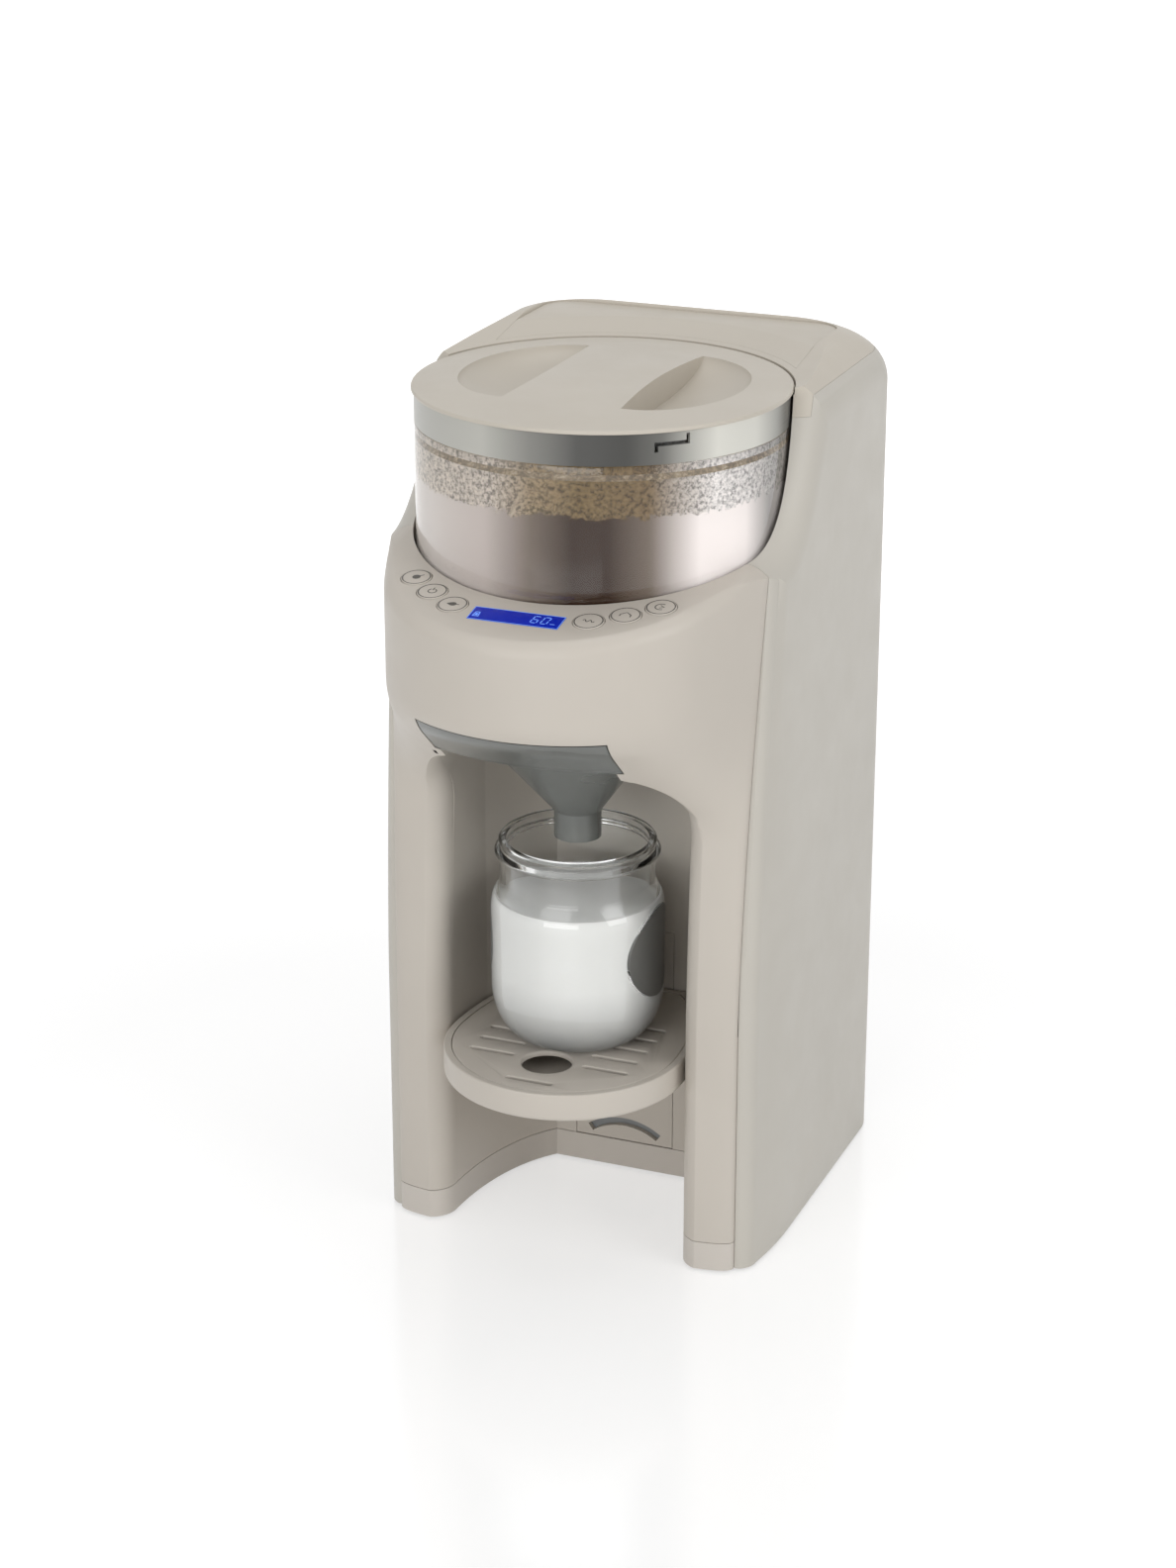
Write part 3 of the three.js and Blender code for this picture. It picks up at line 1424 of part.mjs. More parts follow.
function displayModule() {
  return onPanel(panelBox(
    displayWidth + displayModuleMargin * 2, displayHeight + displayModuleMargin * 2, gap - boardDrop, -wall - gap,
  ));
}

function displayWindow() {
  return onPanel(panelBox(displayWidth - gap * 2, displayHeight - gap * 2, -wall, 0));
}

function panelButton(at) {
  return onPanel(panelCylinder(buttonRadius, -wall - buttonDrop, buttonRise, at, smallSides));
}

function mainBoard() {
  const front = chassisBack + gap;
  return box(-mainBoardHalfWidth, mainBoardHalfWidth, front, front + boardThickness, mainBoardBottom, mainBoardTop);
}

function powerInlet() {
  const body = box(
    inletX - inletHalfWidth, inletX + inletHalfWidth, backY - inletDepth, backY - gap,
    inletZ - inletHalfHeight, inletZ + inletHalfHeight,
  );
  const flangeY = backY - wall - gap;
  const flange = box(
    inletX - inletHalfWidth - inletFlange, inletX + inletHalfWidth + inletFlange, flangeY - inletFlange, flangeY,
    inletZ - inletHalfHeight - inletFlange, inletZ + inletHalfHeight + inletFlange,
  );
  const socket = box(
    inletX - inletHalfWidth + inletRim, inletX + inletHalfWidth - inletRim, backY - inletRecess, backY + overrun,
    inletZ - inletHalfHeight + inletRim, inletZ + inletHalfHeight - inletRim,
  );
  return cut(union(body, flange), socket);
}

// Drip tray
function trayPlan(inset) {
  const centreY = frontY + traySetback;
  const radius = trayRadius - inset;
  const wallLine = bayPlan(-trayBayClearance - inset).filter(([x, y]) => x > 0 && y > centreY);
  const side = wallLine.filter(([x]) => x < radius);
  const right = [...arc(0, centreY, radius, -90, 0, curveSteps + 2), ...side];
  return mirrored(right).slice(0, -1);
}

function dripTray() {
  const bottom = trayTop - trayHeight;
  const ledgeTop = trayTop - grateThickness - gap;
  const backLimit = bayBackY - gap;
  const tongueOutline = slotOutline(tongueHeight + slotThickness / 2, 0);
  const tongue = prismAlongY(tongueOutline, backLimit - overrun, bayBackY + tongueDepth - gap);
  const tray = cut(
    prism(trayPlan(0), bottom, trayTop),
    prism(trayPlan(trayRim), ledgeTop, trayTop + overrun),
    prism(trayPlan(trayRim + trayLedge), bottom + trayFloor, trayTop + overrun),
  );
  const recess = prism(trayPlan(trayRim + trayLedge), bottom + trayFloor, trayTop + overrun);
  return union(tray, tongue.subtract(recess));
}

function grateSlot(x0, x1, y) {
  const radius = grateSlotWidth / 2;
  const outline = [
    ...arc(x1 - radius, y, radius, -90, 90, 2),
    ...arc(x0 + radius, y, radius, 90, 270, 2),
  ];
  return prism(outline, trayTop - grateThickness - overrun, trayTop + overrun);
}

function trayGrate() {
  const frontRow = frontY + grateFrontSlotSetback;
  const rows = Array.from({ length: grateRowCount }, (_, i) => (
    frontY + grateHoleSetback + (i + grateRowShare) * grateRowPitch
  ));
  const slots = rows.flatMap((y) => [-1, 1].map((side) => {
    const ends = [side * grateSlotInner, side * grateSlotOuter].sort((a, b) => a - b);
    return grateSlot(...ends, y);
  }));
  return cut(
    prism(trayPlan(trayRim + gap), trayTop - grateThickness, trayTop),
    disc(
      grateHoleRadius, trayTop - grateThickness - overrun, trayTop + overrun, 0, frontY + grateHoleSetback, midSides,
    ),
    grateSlot(-grateFrontSlotHalf, grateFrontSlotHalf, frontRow),
    ...slots,
  );
}

// Bottle: a wide-necked jar with a dent for the hand on each side
function bottleOuter() {
  const roundX = bottleRadius - bottleBaseRadius;
  const round = [1, 2, 3].map((i) => {
    const angle = Math.PI / 2 * i / 3;
    return [
      bottleBaseRadius + roundX * Math.sin(angle),
      bottleBottom + bottleRoundHeight * (1 - Math.cos(angle)),
    ];
  });
  const collarBottom = bottleRimTop - bottleCollarHeight;
  const neckBottom = bottleRimTop - bottleNeckHeight;
  const shoulderBottom = neckBottom - bottleShoulderHeight;
  return [
    [bottleBaseRadius, bottleBottom], ...round,
    [bottleRadius, shoulderBottom],
    [(bottleRadius * 2 + bottleNeckRadius) / 3, (shoulderBottom + neckBottom * 2) / 3],
    [bottleNeckRadius, neckBottom], [bottleNeckRadius, collarBottom],
    [bottleCollarRadius, collarBottom], [bottleCollarRadius, collarBottom + wall],
    [bottleRimRadius, bottleRimTop],
  ];
}

function bottleInner(shrink, bottom, top) {
  const outer = bottleOuter();
  const neck = bottleNeckRadius - bottleWall - shrink;
  const points = outer.slice(0, 5).map(([r, z], i) => [
    r - bottleWall - shrink, Math.max(bottom, z + (i < 3 ? bottleWall + shrink : 0)),
  ]);
  return { points, neck, top };
}

function gripRegion(side, grow) {
  const z = bottleBottom + gripCentreHeight;
  const outline = arc(bottleY, z, gripRadius - grow, 0, 360 - 360 / midSides, midSides - 1);
  const inner = bottleRadius / 2;
  const x0 = side > 0 ? inner : -bottleRadius - overrun;
  const x1 = side > 0 ? bottleRadius + overrun : -inner;
  return prismAlongX(outline, x0, x1);
}

function bottle() {
  const outer = bottleOuter();
  const bottom = bottleBottom + bottleWall;
  const { points, neck } = bottleInner(0, bottom, bottleRimTop);
  const neckBottom = bottleRimTop - bottleNeckHeight;
  const profile = [
    [0, bottleBottom], ...outer, [neck, bottleRimTop], [neck, neckBottom],
    ...points.reverse(), [0, bottom],
  ];
  const jar = turned(profile, 0, bottleY, bottleSides);
  const skin = ring(
    bottleRadius + overrun, bottleRadius - gripDent, bottleBottom, milkTop, 0, bottleY, bottleSides,
  );
  return cut(jar, ...[-1, 1].map((side) => skin.intersect(gripRegion(side, 0))));
}

function bottleGrip(side) {
  const outer = bottleRadius * Math.cos(Math.PI / bottleSides) - gap / 3;
  const band = ring(
    outer, bottleRadius - gripDent + gap, bottleBottom, milkTop, 0, bottleY, bottleSides,
  );
  return band.intersect(gripRegion(side, gap));
}

function milk() {
  const bottom = bottleBottom + bottleWall + gap;
  const { points, neck } = bottleInner(gap * 2, bottom, milkTop);
  const kept = points.filter(([, z]) => z < milkTop);
  const shoulderBottom = bottleRimTop - bottleNeckHeight - bottleShoulderHeight;
  const share = Math.max(0, milkTop - shoulderBottom) / bottleShoulderHeight;
  const side = THREE.MathUtils.lerp(kept.at(-1)[0], neck, share);
  return turned([[0, bottom], ...kept, [side, milkTop], [0, milkTop]], 0, bottleY, bottleSides);
}

// Assembly
const machine = new THREE.Group();

function add(name, body, material) {
  const mesh = new THREE.Mesh(surface(body), material);
  mesh.name = name;
  machine.add(mesh);
}

add('front_housing', frontHousing(), cream);
add('bay_liner', bayLiner(), cream);
add('side_shell', sideShell(), creamSide);
add('tower_cap', towerCap(), cream);
add('base_frame', baseFrame(), creamBase);
for (const [place, x, y] of footPlaces()) add(`foot_${place}`, foot(x, y), rubber);
for (const [place, x, y] of screwPlaces()) add(`base_screw_${place}`, baseScrew(x, y), steel);
add('bay_back_plate', bayBackPlate(), cream);
add('container_well', containerWell(), inside);
add('chassis', chassis(), inside);

add('powder_container', powderContainer(), clearPlastic);
add('container_lid', containerLid(), creamLid);
add('lid_skirt', lidSkirt(), silver);
add('lid_gasket', lidGasket(), rubber);
add('formula_powder', formulaPowder(), powder);
add('dosing_wheel', dosingWheel(), clearPlastic);
add('stirrer', stirrer(), silver);
add('scraper', scraper(), silver);
add('drive_gear', driveGear(), inside);
add('motor_pinion', motorPinion(), steel);
add('wheel_motor', wheelMotor(), steel);
add('powder_chute', powderChute(), smoke);
add('funnel', funnel(), smoke);
add('funnel_sensor', funnelSensor(), inside);

add('water_tank', waterTank(), clearPlastic);
add('tank_lid', tankLid(), cream);
add('tank_valve', tankValve(), inside);
add('valve_socket', valveSocket(), inside);
add('pump_body', pumpBody(), inside);
add('pump_rotor', pumpRotor(), silver);
add('flow_valve', flowValve(), inside);
add('heater', heater(), steel);
add('tank_tube', tankTube(), clearPlastic);
add('pump_tube', pumpTube(), clearPlastic);
add('heater_tube', heaterTube(), clearPlastic);
add('nozzle_tube', nozzleTube(), clearPlastic);
add('water_nozzle', waterNozzle(), smoke);

add('control_board', controlBoard(), circuit);
add('display_module', displayModule(), screenBlue);
add('display_window', displayWindow(), screenBlue);
for (const { side, number, at } of buttonPlaces()) add(`button_${side}_${number}`, panelButton(at), cream);
add('main_board', mainBoard(), circuit);
add('power_inlet', powerInlet(), rubber);

add('drip_tray', dripTray(), cream);
add('tray_grate', trayGrate(), cream);
add('bottle', bottle(), clearPlastic);
add('bottle_grip_left', bottleGrip(-1), smoke);
add('bottle_grip_right', bottleGrip(1), smoke);
add('milk', milk(), milkWhite);

export default machine;
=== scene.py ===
"""Baby formula maker: finer pieces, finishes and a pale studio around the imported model.

Metres, +Z up, the front faces -Y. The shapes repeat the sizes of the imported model, but the lid is
domed, and the bottle's rim and the tank's cover are a little higher.
"""
import json
import math

import bmesh
import bpy
from bpy.props import FloatProperty, FloatVectorProperty, PointerProperty
from mathutils import Matrix, Vector, noise


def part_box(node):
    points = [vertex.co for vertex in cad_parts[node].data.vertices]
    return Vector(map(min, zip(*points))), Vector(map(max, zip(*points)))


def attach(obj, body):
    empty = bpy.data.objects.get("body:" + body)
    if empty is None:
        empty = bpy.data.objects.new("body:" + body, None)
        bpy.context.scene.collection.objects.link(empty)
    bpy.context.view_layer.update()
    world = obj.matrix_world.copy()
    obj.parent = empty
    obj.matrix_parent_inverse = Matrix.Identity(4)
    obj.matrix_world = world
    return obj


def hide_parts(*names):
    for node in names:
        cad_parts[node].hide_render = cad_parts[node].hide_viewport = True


bl_info = {
    "name": "Baby formula maker",
    "version": (1, 0, 0),
    "blender": (4, 5, 0),
    "location": "View3D > Sidebar > Formula maker",
    "description": "Builds the finished look of a baby formula maker around its packed frame",
    "category": "Object",
}

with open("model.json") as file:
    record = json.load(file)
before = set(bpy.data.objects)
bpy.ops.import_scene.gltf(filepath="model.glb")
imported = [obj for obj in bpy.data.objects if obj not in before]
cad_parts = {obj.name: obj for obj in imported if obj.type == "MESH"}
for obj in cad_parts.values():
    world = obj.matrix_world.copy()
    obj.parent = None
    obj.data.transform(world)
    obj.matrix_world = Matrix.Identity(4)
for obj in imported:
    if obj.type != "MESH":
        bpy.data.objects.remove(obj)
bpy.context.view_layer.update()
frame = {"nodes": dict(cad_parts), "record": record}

# Overall sizes
HALF_WIDTH = 0.0882
BACK_Y = 0.1225
FRONT_Y = -BACK_Y
TOP = 0.38
WALL = 0.0026
GAP = 0.0003
OVERRUN = 0.006
FLOOR_LIFT = 0.0012
BASE_TOP = 0.014

# Side shell
SIDE_BOW = 0.003
BOW_LENGTH = 0.0325
BACK_CORNER = 0.027
SHOULDER = 0.024
CORNER_SOFTENING = 1.1
CHEEK_ROUNDING = 0.017
LIP_RADIUS = 0.009
LIP_REACH = 0.0007
LIP_ANGLE = 65
SEAM_ANGLE = 42
LIP_Y = FRONT_Y + 0.0705
SEAM_START = 0.11
SEAM_LEAN = 0.015
SEAM_POWER = 1.5
LEG_INSIDE_GAP = 0.0002
LEG_TUCK = 0.006
LIP_CENTRE_X = HALF_WIDTH - SIDE_BOW - LIP_RADIUS
BOW_START_Y = LIP_Y + LIP_RADIUS + BOW_LENGTH
LIP_END_X = LIP_CENTRE_X + (LIP_RADIUS - WALL) * math.cos(math.radians(LIP_ANGLE)) - LIP_REACH

# Container and lid
AXIS_Y = FRONT_Y + 0.1128
JAR_RADIUS = 0.0772
JAR_WALL = 0.002
JAR_FLOOR = 0.0024
POCKET_RADIUS = JAR_RADIUS + 0.0012
WELL_RADIUS = POCKET_RADIUS + 0.0025
WELL_TOP = 0.289
DECK_TOP = 0.26
LID_TOP = 0.373
LID_RADIUS = 0.0783
LID_EDGE = 0.0016
LID_PLATE = 0.003
LID_LIP_WALL = 0.002
LID_LIP_HEIGHT = 0.004
LID_RIM_RUN = 0.003
LID_RIM_RISE = 0.0001
LID_ROUNDINGS = (0, 0, 0.0004, 0.0004, 0, 0.0003, 0.0009, 0)
LID_DOME = 0.0035
LID_LIP_GAP = 0.002
LID_UNDER = LID_TOP - LID_EDGE
SKIRT_HEIGHT = 0.0126
SKIRT_WALL = 0.0018
GASKET = 0.0016
SKIRT_BOTTOM = LID_UNDER - GAP - SKIRT_HEIGHT
NECK_TOP = LID_UNDER - GAP - GASKET - GAP
NECK_RADIUS = JAR_RADIUS - SKIRT_WALL - GAP
JAR_INNER = JAR_RADIUS - JAR_WALL
JAR_ROUNDINGS = (0, 0.0015, 0.0004, 0.0003, 0.0006, 0.0006, 0.003, 0.003, 0.0012, 0)
SHAFT_ROOM = 0.0065
POWDER_BOTTOM = 0.2889
POWDER_TOP = 0.328
POWDER_PRESS = 0.0003
POWDER_FILM = 0.0008
POWDER_LINE = 0.337
POWDER_SEED = Vector((3.7, 1.3, 0.4))
HEAP_SCALE, HEAP_SHARE = 22, 0.9
CLOD_SCALE, CLOD_SHARE, CLOD_DROP = 160, 0.45, 0.6
GRAIN_SCALE, GRAIN_SHARE = 900, 0.2
OUTLET_Y = AXIS_Y - 0.056
OUTLET_HALF_WIDTH = 0.009
OUTLET_HALF_DEPTH = 0.007
CHUTE_WALL = 0.002
GRIP_HALF_WIDTH = 0.0255
GRIP_WAIST = 0.0025
SCOOP_RADII = (0.0345, 0.047, 0.0115)
SCOOP_SETBACK = 0.0025
SCOOP_RISE = 0.0022
SCOOP_SKIN = 0.0022
NOTCH_ANGLE = 48
NOTCH_WIDTH = 0.0016
NOTCH_RUN = 0.015
NOTCH_DROP = 0.0044
NOTCH_HOOK = 0.0032

# Head and panel
PANEL_TILT = math.radians(11)
DISPLAY_Y = FRONT_Y + 0.0215
PANEL_HEIGHT = 0.2994
PANEL_ROUNDING = 0.006
DISPLAY_WIDTH = 0.0389
DISPLAY_HEIGHT = 0.0103
DISPLAY_CORNER = 0.0003
DISPLAY_ROUNDING = 0.0002
BUTTON_RADIUS = 0.0063
BUTTON_RISE = 0.0003
BUTTON_DROP = 0.0032
BUTTON_ROUNDING = 0.0004
BUTTON_ANGLES = (18.4, 27.6, 37)
BUTTON_SHARES = (0.435, 0.4, 0.4)
HEAD_BOTTOM = 0.253
CHIN_END = 0.203
CHIN_SOFTNESS = 0.16
LEG_LEVEL = 0.06
CHIN_LEVELS = (0.19, 0.266)
HEAD_LEVELS = [0.27, 0.276]
LEG_NOSE_DEPTH = 0.0065
LEG_NOSE_POWER = 6
SEAM_STEP = 0.0009
NOSE_RADIUS = 0.0745
NOSE_ANGLE = 66
FLANK_LEAD = 0.014
LEG_ROUNDING = 0.0114
ARCH_ROUNDING = 0.002
ARCH_TURN = 60
FOOT_ROOM = 0.0063

# Bay
BAY_CEILING = 0.2328
BAY_ARCH = 0.025
BAY_HALF_WIDTH = 0.054
BAY_BACK_HALF_WIDTH = 0.033
BAY_WALL_START = FRONT_Y + 0.0745
BAY_BACK_Y = FRONT_Y + 0.141
BAY_CURVE = ((0.965, 0.39), (0.67, 0.77))
PLATE_HALF_WIDTH = 0.023
PLATE_TOP = 0.1197
SLOT_RADIUS = 0.028
SLOT_HALF_ANGLE = 35
SLOT_THICKNESS = 0.003
SLOT_PITCH = 0.03275
TONGUE_CLEARANCE = 0.0004

# Funnel
FUNNEL_HALF_WIDTH = 0.0408
FLANGE_TOP = 0.2536
FLANGE_THICKNESS = 0.0022
FRAME_BOTTOM = BAY_CEILING + WALL + GAP
FRAME_TOP = FRAME_BOTTOM + 0.0024
SLOT_TOP = 0.244
SLOT_BACK = FRONT_Y + 0.1225
FUNNEL_BACK = SLOT_BACK - OVERRUN / 2
RISER_Y = FRONT_Y + 0.039
RAIL_OVERLAP = 0.003
MOUTH_RADII = (0.0375, 0.0395)
MOUTH_Y = FRONT_Y + 0.078
CONE_BOTTOM = 0.196
FUNNEL_WALL = 0.002
SPOUT_RADIUS = 0.01
SPOUT_END = 0.1842
BOTTLE_Y = FRONT_Y + 0.0855
NOZZLE = (0.022, -0.06, 0.0043)

# Tray
TRAY_TOP = 0.0937
TRAY_HEIGHT = 0.0124
TRAY_RADIUS = 0.0525
TRAY_Y = FRONT_Y + 0.0724
TRAY_FLOOR = 0.0025
TRAY_RIM = 0.0032
TRAY_LEDGE = 0.003
TRAY_CLEARANCE = 0.0015
TRAY_ROUNDINGS = (0.0022, 0.0008)
GRATE_THICKNESS = 0.0022
GRATE_ROUNDING = 0.0005
HOLE_ROUNDING = 0.0009
HOLE_RADIUS = 0.0108
HOLE_Y = FRONT_Y + 0.0505
GRATE_SLOT_WIDTH = 0.0026
ROW_PITCH = 0.0112
ROW_START = HOLE_Y + 0.0016
FRONT_SLOT_Y = FRONT_Y + 0.0312
FRONT_SLOT_HALF = 0.0105
GRATE_SLOT = (0.0155, 0.036)
TONGUE_DEPTH = 0.0026

# Bottle
BOTTLE_BOTTOM = TRAY_TOP + GAP
BOTTLE_RADIUS = 0.037
BOTTLE_WALL = 0.0028
BOTTLE_BASE = 0.022
BOTTLE_ROUND = 0.024
RIM_TOP = 0.1838
RIM_RADIUS = 0.0336
RIM_BEAD = 0.001
COLLAR_RADIUS = 0.0352
COLLAR_HEIGHT = 0.0068
COLLAR_BEAD = 0.0014
NECK_HEIGHT = 0.0181
SHOULDER_HEIGHT = 0.014
BOTTLE_NECK = 0.033
SHOULDER_PULLS = (0.009, 0.005)
COLLAR_ROUNDINGS = (0, 0.0005, 0.0006, 0.0006, 0.0005, 0.0004, 0.0005, 0)
MOUTH_CHAMFER = (0.0006, 0.0008)
MILK_TOP = 0.1583
MILK_INTO_WALL = 0.0016
PAD_RADIUS = 0.02
PAD_HEIGHT = 0.043
PAD_DENT = 0.0014

# Tower top and tank
CAP_INSET = 0.0047
CAP_BOTTOM = 0.362
TANK_HALF_WIDTH = 0.0665
TANK_CORNER = 0.012
TANK_BACK_Y = BACK_Y - 0.0215
TANK_ARC = WELL_RADIUS + 0.002
TANK_CLEARANCE = 0.001
COVER_CLEARANCE = 0.0001
TANK_WALL = 0.002
TANK_BOTTOM = 0.1288
TANK_TOP = 0.3696
TANK_LID_RECESS = 0.002
DISH_RADIUS = 0.108
SEAM_WIDTH = 0.0001
TANK_LID_PLATE = 0.005
RIM_ROUNDING = 0.0016
SPIGOT = (-0.04, 0.088)
SPIGOT_RADIUS = 0.0105
SPIGOT_BORE = 0.008
SPIGOT_LENGTH = 0.009

# Power inlet opening
INLET = (0.042, 0.03)
INLET_HALF = (0.014, 0.01)

# Fineness
ROUND_STEPS = 128
FINE_STEPS = 160
POWDER_STEPS = 320
BUTTON_STEPS = 64
CIRCLE_STEPS = 96
SEAM_STEPS = 28
SHOULDER_STEPS = 16
CHEEK_STEPS = 16
RISE_STEPS = 14
CHIN_STEPS = 34
PANEL_STEPS = 12
ARCH_STEPS = 12
SPRING_STEPS = 16
BASE_STEPS = 20
POWDER_RINGS = 72
DOME_STEPS = 24
TRAY_POINTS = 200
CORNER_SHARE = 0.17
SMOOTH_ANGLE = math.radians(32)
WELD = 0.000005


def lerp(a, b, share):
    return a + (b - a) * share


def clamp(value):
    return min(1.0, max(0.0, value))


def arc(x, y, radius, start, end, steps):
    """Points on an arc from one angle to another, in degrees, both ends included."""
    turns = [math.radians(lerp(start, end, i / steps)) for i in range(steps + 1)]
    return [(x + radius * math.cos(t), y + radius * math.sin(t)) for t in turns]


def whole_circle(x, y, radius):
    return arc(x, y, radius, 0, 360 - 360 / CIRCLE_STEPS, CIRCLE_STEPS - 1)


def mirrored(points):
    return points + [(-x, y) for x, y in reversed(points)]


def level(points, z):
    return [(x, y, z) for x, y in points]


def across_y(outline, depths):
    """An outline in X and Z, given again at each depth."""
    return [[(x, y, z) for x, z in outline] for y in depths]


def quarter_round(steps):
    """How far in and how far down, as shares, along a quarter round from the side to the top."""
    turns = [math.pi / 2 * i / steps for i in range(steps + 1)]
    return [(1 - math.cos(turn), 1 - math.sin(turn)) for turn in turns]


def quadratic(start, middle, end, steps):
    """Points on a curve with one control point, both ends included."""
    points = []
    for i in range(steps + 1):
        t = i / steps
        a, b, c = (1 - t) ** 2, 2 * t * (1 - t), t * t
        points.append(tuple(a * p + b * q + c * r for p, q, r in zip(start, middle, end)))
    return points


def cubic(start, first, second, end, steps):
    """Points on a curve with two control points, both ends included."""
    points = []
    for i in range(steps + 1):
        t = i / steps
        a, b, c, d = (1 - t) ** 3, 3 * t * (1 - t) ** 2, 3 * t * t * (1 - t), t ** 3
        points.append(tuple(a * p + b * q + c * r + d * s for p, q, r, s in zip(start, first, second, end)))
    return points


def around_jar(reach, angle):
    """Place at a reach from the container's axis, angles from the front towards +X."""
    turn = math.radians(angle)
    return (reach * math.sin(turn), AXIS_Y - reach * math.cos(turn))


def linked(name, data):
    thing = bpy.data.objects.new(name, data)
    bpy.context.scene.collection.objects.link(thing)
    return thing


def written(name, bm):
    mesh = bpy.data.meshes.new(name)
    bm.to_mesh(mesh)
    bm.free()
    return linked(name, mesh)


def as_object(name, bm):
    bmesh.ops.remove_doubles(bm, verts=bm.verts, dist=WELD)
    bmesh.ops.recalc_face_normals(bm, faces=bm.faces)
    return written(name, bm)


def add_loop(bm, points):
    verts = [bm.verts.new(point) for point in points]
    return [bm.edges.new(pair) for pair in zip(verts, verts[1:] + verts[:1])]


def lofted(name, rings):
    """A closed body through rings of equal count, in order."""
    bm = bmesh.new()
    loops = [add_loop(bm, ring) for ring in rings]
    for low, high in zip(loops, loops[1:]):
        bmesh.ops.bridge_loops(bm, edges=low + high)
    for end in (loops[0], loops[-1]):
        bmesh.ops.contextual_create(bm, geom=end)
    return as_object(name, bm)


def prism(name, points, bottom, top):
    """An outline in X and Y, raised from bottom to top."""
    return lofted(name, [level(points, bottom), level(points, top)])


def rounded_prism(name, plan, bottom, top, low=0.0, high=0.0, steps=6):
    """A prism whose lower and upper edges are rounded; plan gives the outline for an inset."""
    rounds = quarter_round(steps)
    lower = rounds if low else rounds[:1]
    upper = rounds if high else rounds[:1]
    rings = [level(plan(low * down), bottom + low * within) for within, down in lower]
    rings += [level(plan(high * within), top - high * down) for within, down in upper]
    return lofted(name, rings)


def opening(name, plan, bottom, top, rounding, steps=8):
    """A cutter that leaves a rounded rim where it comes out at the top."""
    rings = [level(plan(0), bottom)]
    rings += [level(plan(rounding * within), top - rounding * down) for within, down in quarter_round(steps)]
    rings.append(level(plan(rounding), top + OVERRUN))
    return lofted(name, rings)


def box(name, x0, x1, y0, y1, z0, z1):
    bm = bmesh.new()
    bmesh.ops.create_cube(bm, size=1)
    bmesh.ops.scale(bm, vec=(x1 - x0, y1 - y0, z1 - z0), verts=bm.verts)
    bmesh.ops.translate(bm, vec=((x0 + x1) / 2, (y0 + y1) / 2, (z0 + z1) / 2), verts=bm.verts)
    return as_object(name, bm)


def wide_box(name, half, y0, y1, z0, z1):
    """A box as far to the left as to the right."""
    return box(name, -half, half, y0, y1, z0, z1)


def cylinder(name, radius, z0, z1, x=0.0, y=0.0, steps=ROUND_STEPS):
    bm = bmesh.new()
    bmesh.ops.create_cone(bm, cap_ends=True, segments=steps, radius1=radius, radius2=radius, depth=z1 - z0)
    bmesh.ops.translate(bm, vec=(x, y, (z0 + z1) / 2), verts=bm.verts)
    return as_object(name, bm)


def turned(name, profile, x=0.0, y=0.0, steps=ROUND_STEPS, whole=False):
    """A profile of radii and heights, spun round an upright axis; whole closes the profile."""
    bm = bmesh.new()
    verts = [bm.verts.new((x + radius, y, z)) for radius, z in profile]
    pairs = list(zip(verts, verts[1:])) + ([(verts[-1], verts[0])] if whole else [])
    edges = [bm.edges.new(pair) for pair in pairs]
    bmesh.ops.spin(bm, geom=verts + edges, cent=(x, y, 0), axis=(0, 0, 1), angle=math.tau, steps=steps,
                   use_merge=True)
    return as_object(name, bm)


def rounded_profile(points, radii, steps=6):
    """A profile whose corners are rounded; radii gives each corner's radius."""
    result = []
    count = len(points)
    for i, (point, radius) in enumerate(zip(points, radii)):
        here = Vector(point)
        if radius == 0 or i in (0, count - 1):
            result.append(tuple(here))
            continue
        back = (Vector(points[i - 1]) - here).normalized()
        ahead = (Vector(points[i + 1]) - here).normalized()
        half = back.angle(ahead) / 2
        reach = radius / math.tan(half)
        start, end = here + back * reach, here + ahead * reach
        result += quadratic(start, here.lerp((start + end) / 2, CORNER_SHARE), end, steps)
    return result


def combined(body, operation, *others):
    """Cuts, joins or intersects body with the others, which are used up."""
    for other in others:
        modifier = body.modifiers.new("combine", "BOOLEAN")
        modifier.operation = operation
        modifier.solver = "MANIFOLD"
        modifier.object = other
        whole = bpy.context.evaluated_depsgraph_get()
        mesh = bpy.data.meshes.new_from_object(body.evaluated_get(whole))
        if not mesh.polygons:
            raise RuntimeError(f"{body.name} came out empty when combined with {other.name}")
        body.modifiers.clear()
        old = body.data
        body.data = mesh
        bpy.data.meshes.remove(old)
        bpy.data.objects.remove(other)
    return body


def cut(body, *others):
    return combined(body, "DIFFERENCE", *others)


def joined(body, *others):
    return combined(body, "UNION", *others)


def common(body, *others):
    return combined(body, "INTERSECT", *others)


def on_panel(piece):
    """Brings a piece that was made flat at the origin onto the tilted panel."""
    piece.data.transform(PANEL_PLACE)
    return piece


def named(piece, name):
    piece.name = name
    return piece


def smoothed(piece):
    """Shades smooth across flat angles and keeps sharper edges crisp."""
    bm = bmesh.new()
    bm.from_mesh(piece.data)
    bmesh.ops.dissolve_degenerate(bm, dist=WELD, edges=bm.edges)
    for face in bm.faces:
        face.smooth = True
    for edge in bm.edges:
        edge.smooth = len(edge.link_faces) != 2 or edge.calc_face_angle(0) < SMOOTH_ANGLE
    bm.to_mesh(piece.data)
    bm.free()


def placed(piece, finish, body, slot, *nodes):
    """Gives a finished piece its material and body, and hides the nodes that it stands for; slot is not used.
    """
    smoothed(piece)
    piece.data.name = piece.name
    piece.data.materials.clear()
    piece.data.materials.append(finish)
    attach(piece, body)
    if nodes:
        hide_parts(*nodes)


# Outer form of the machine

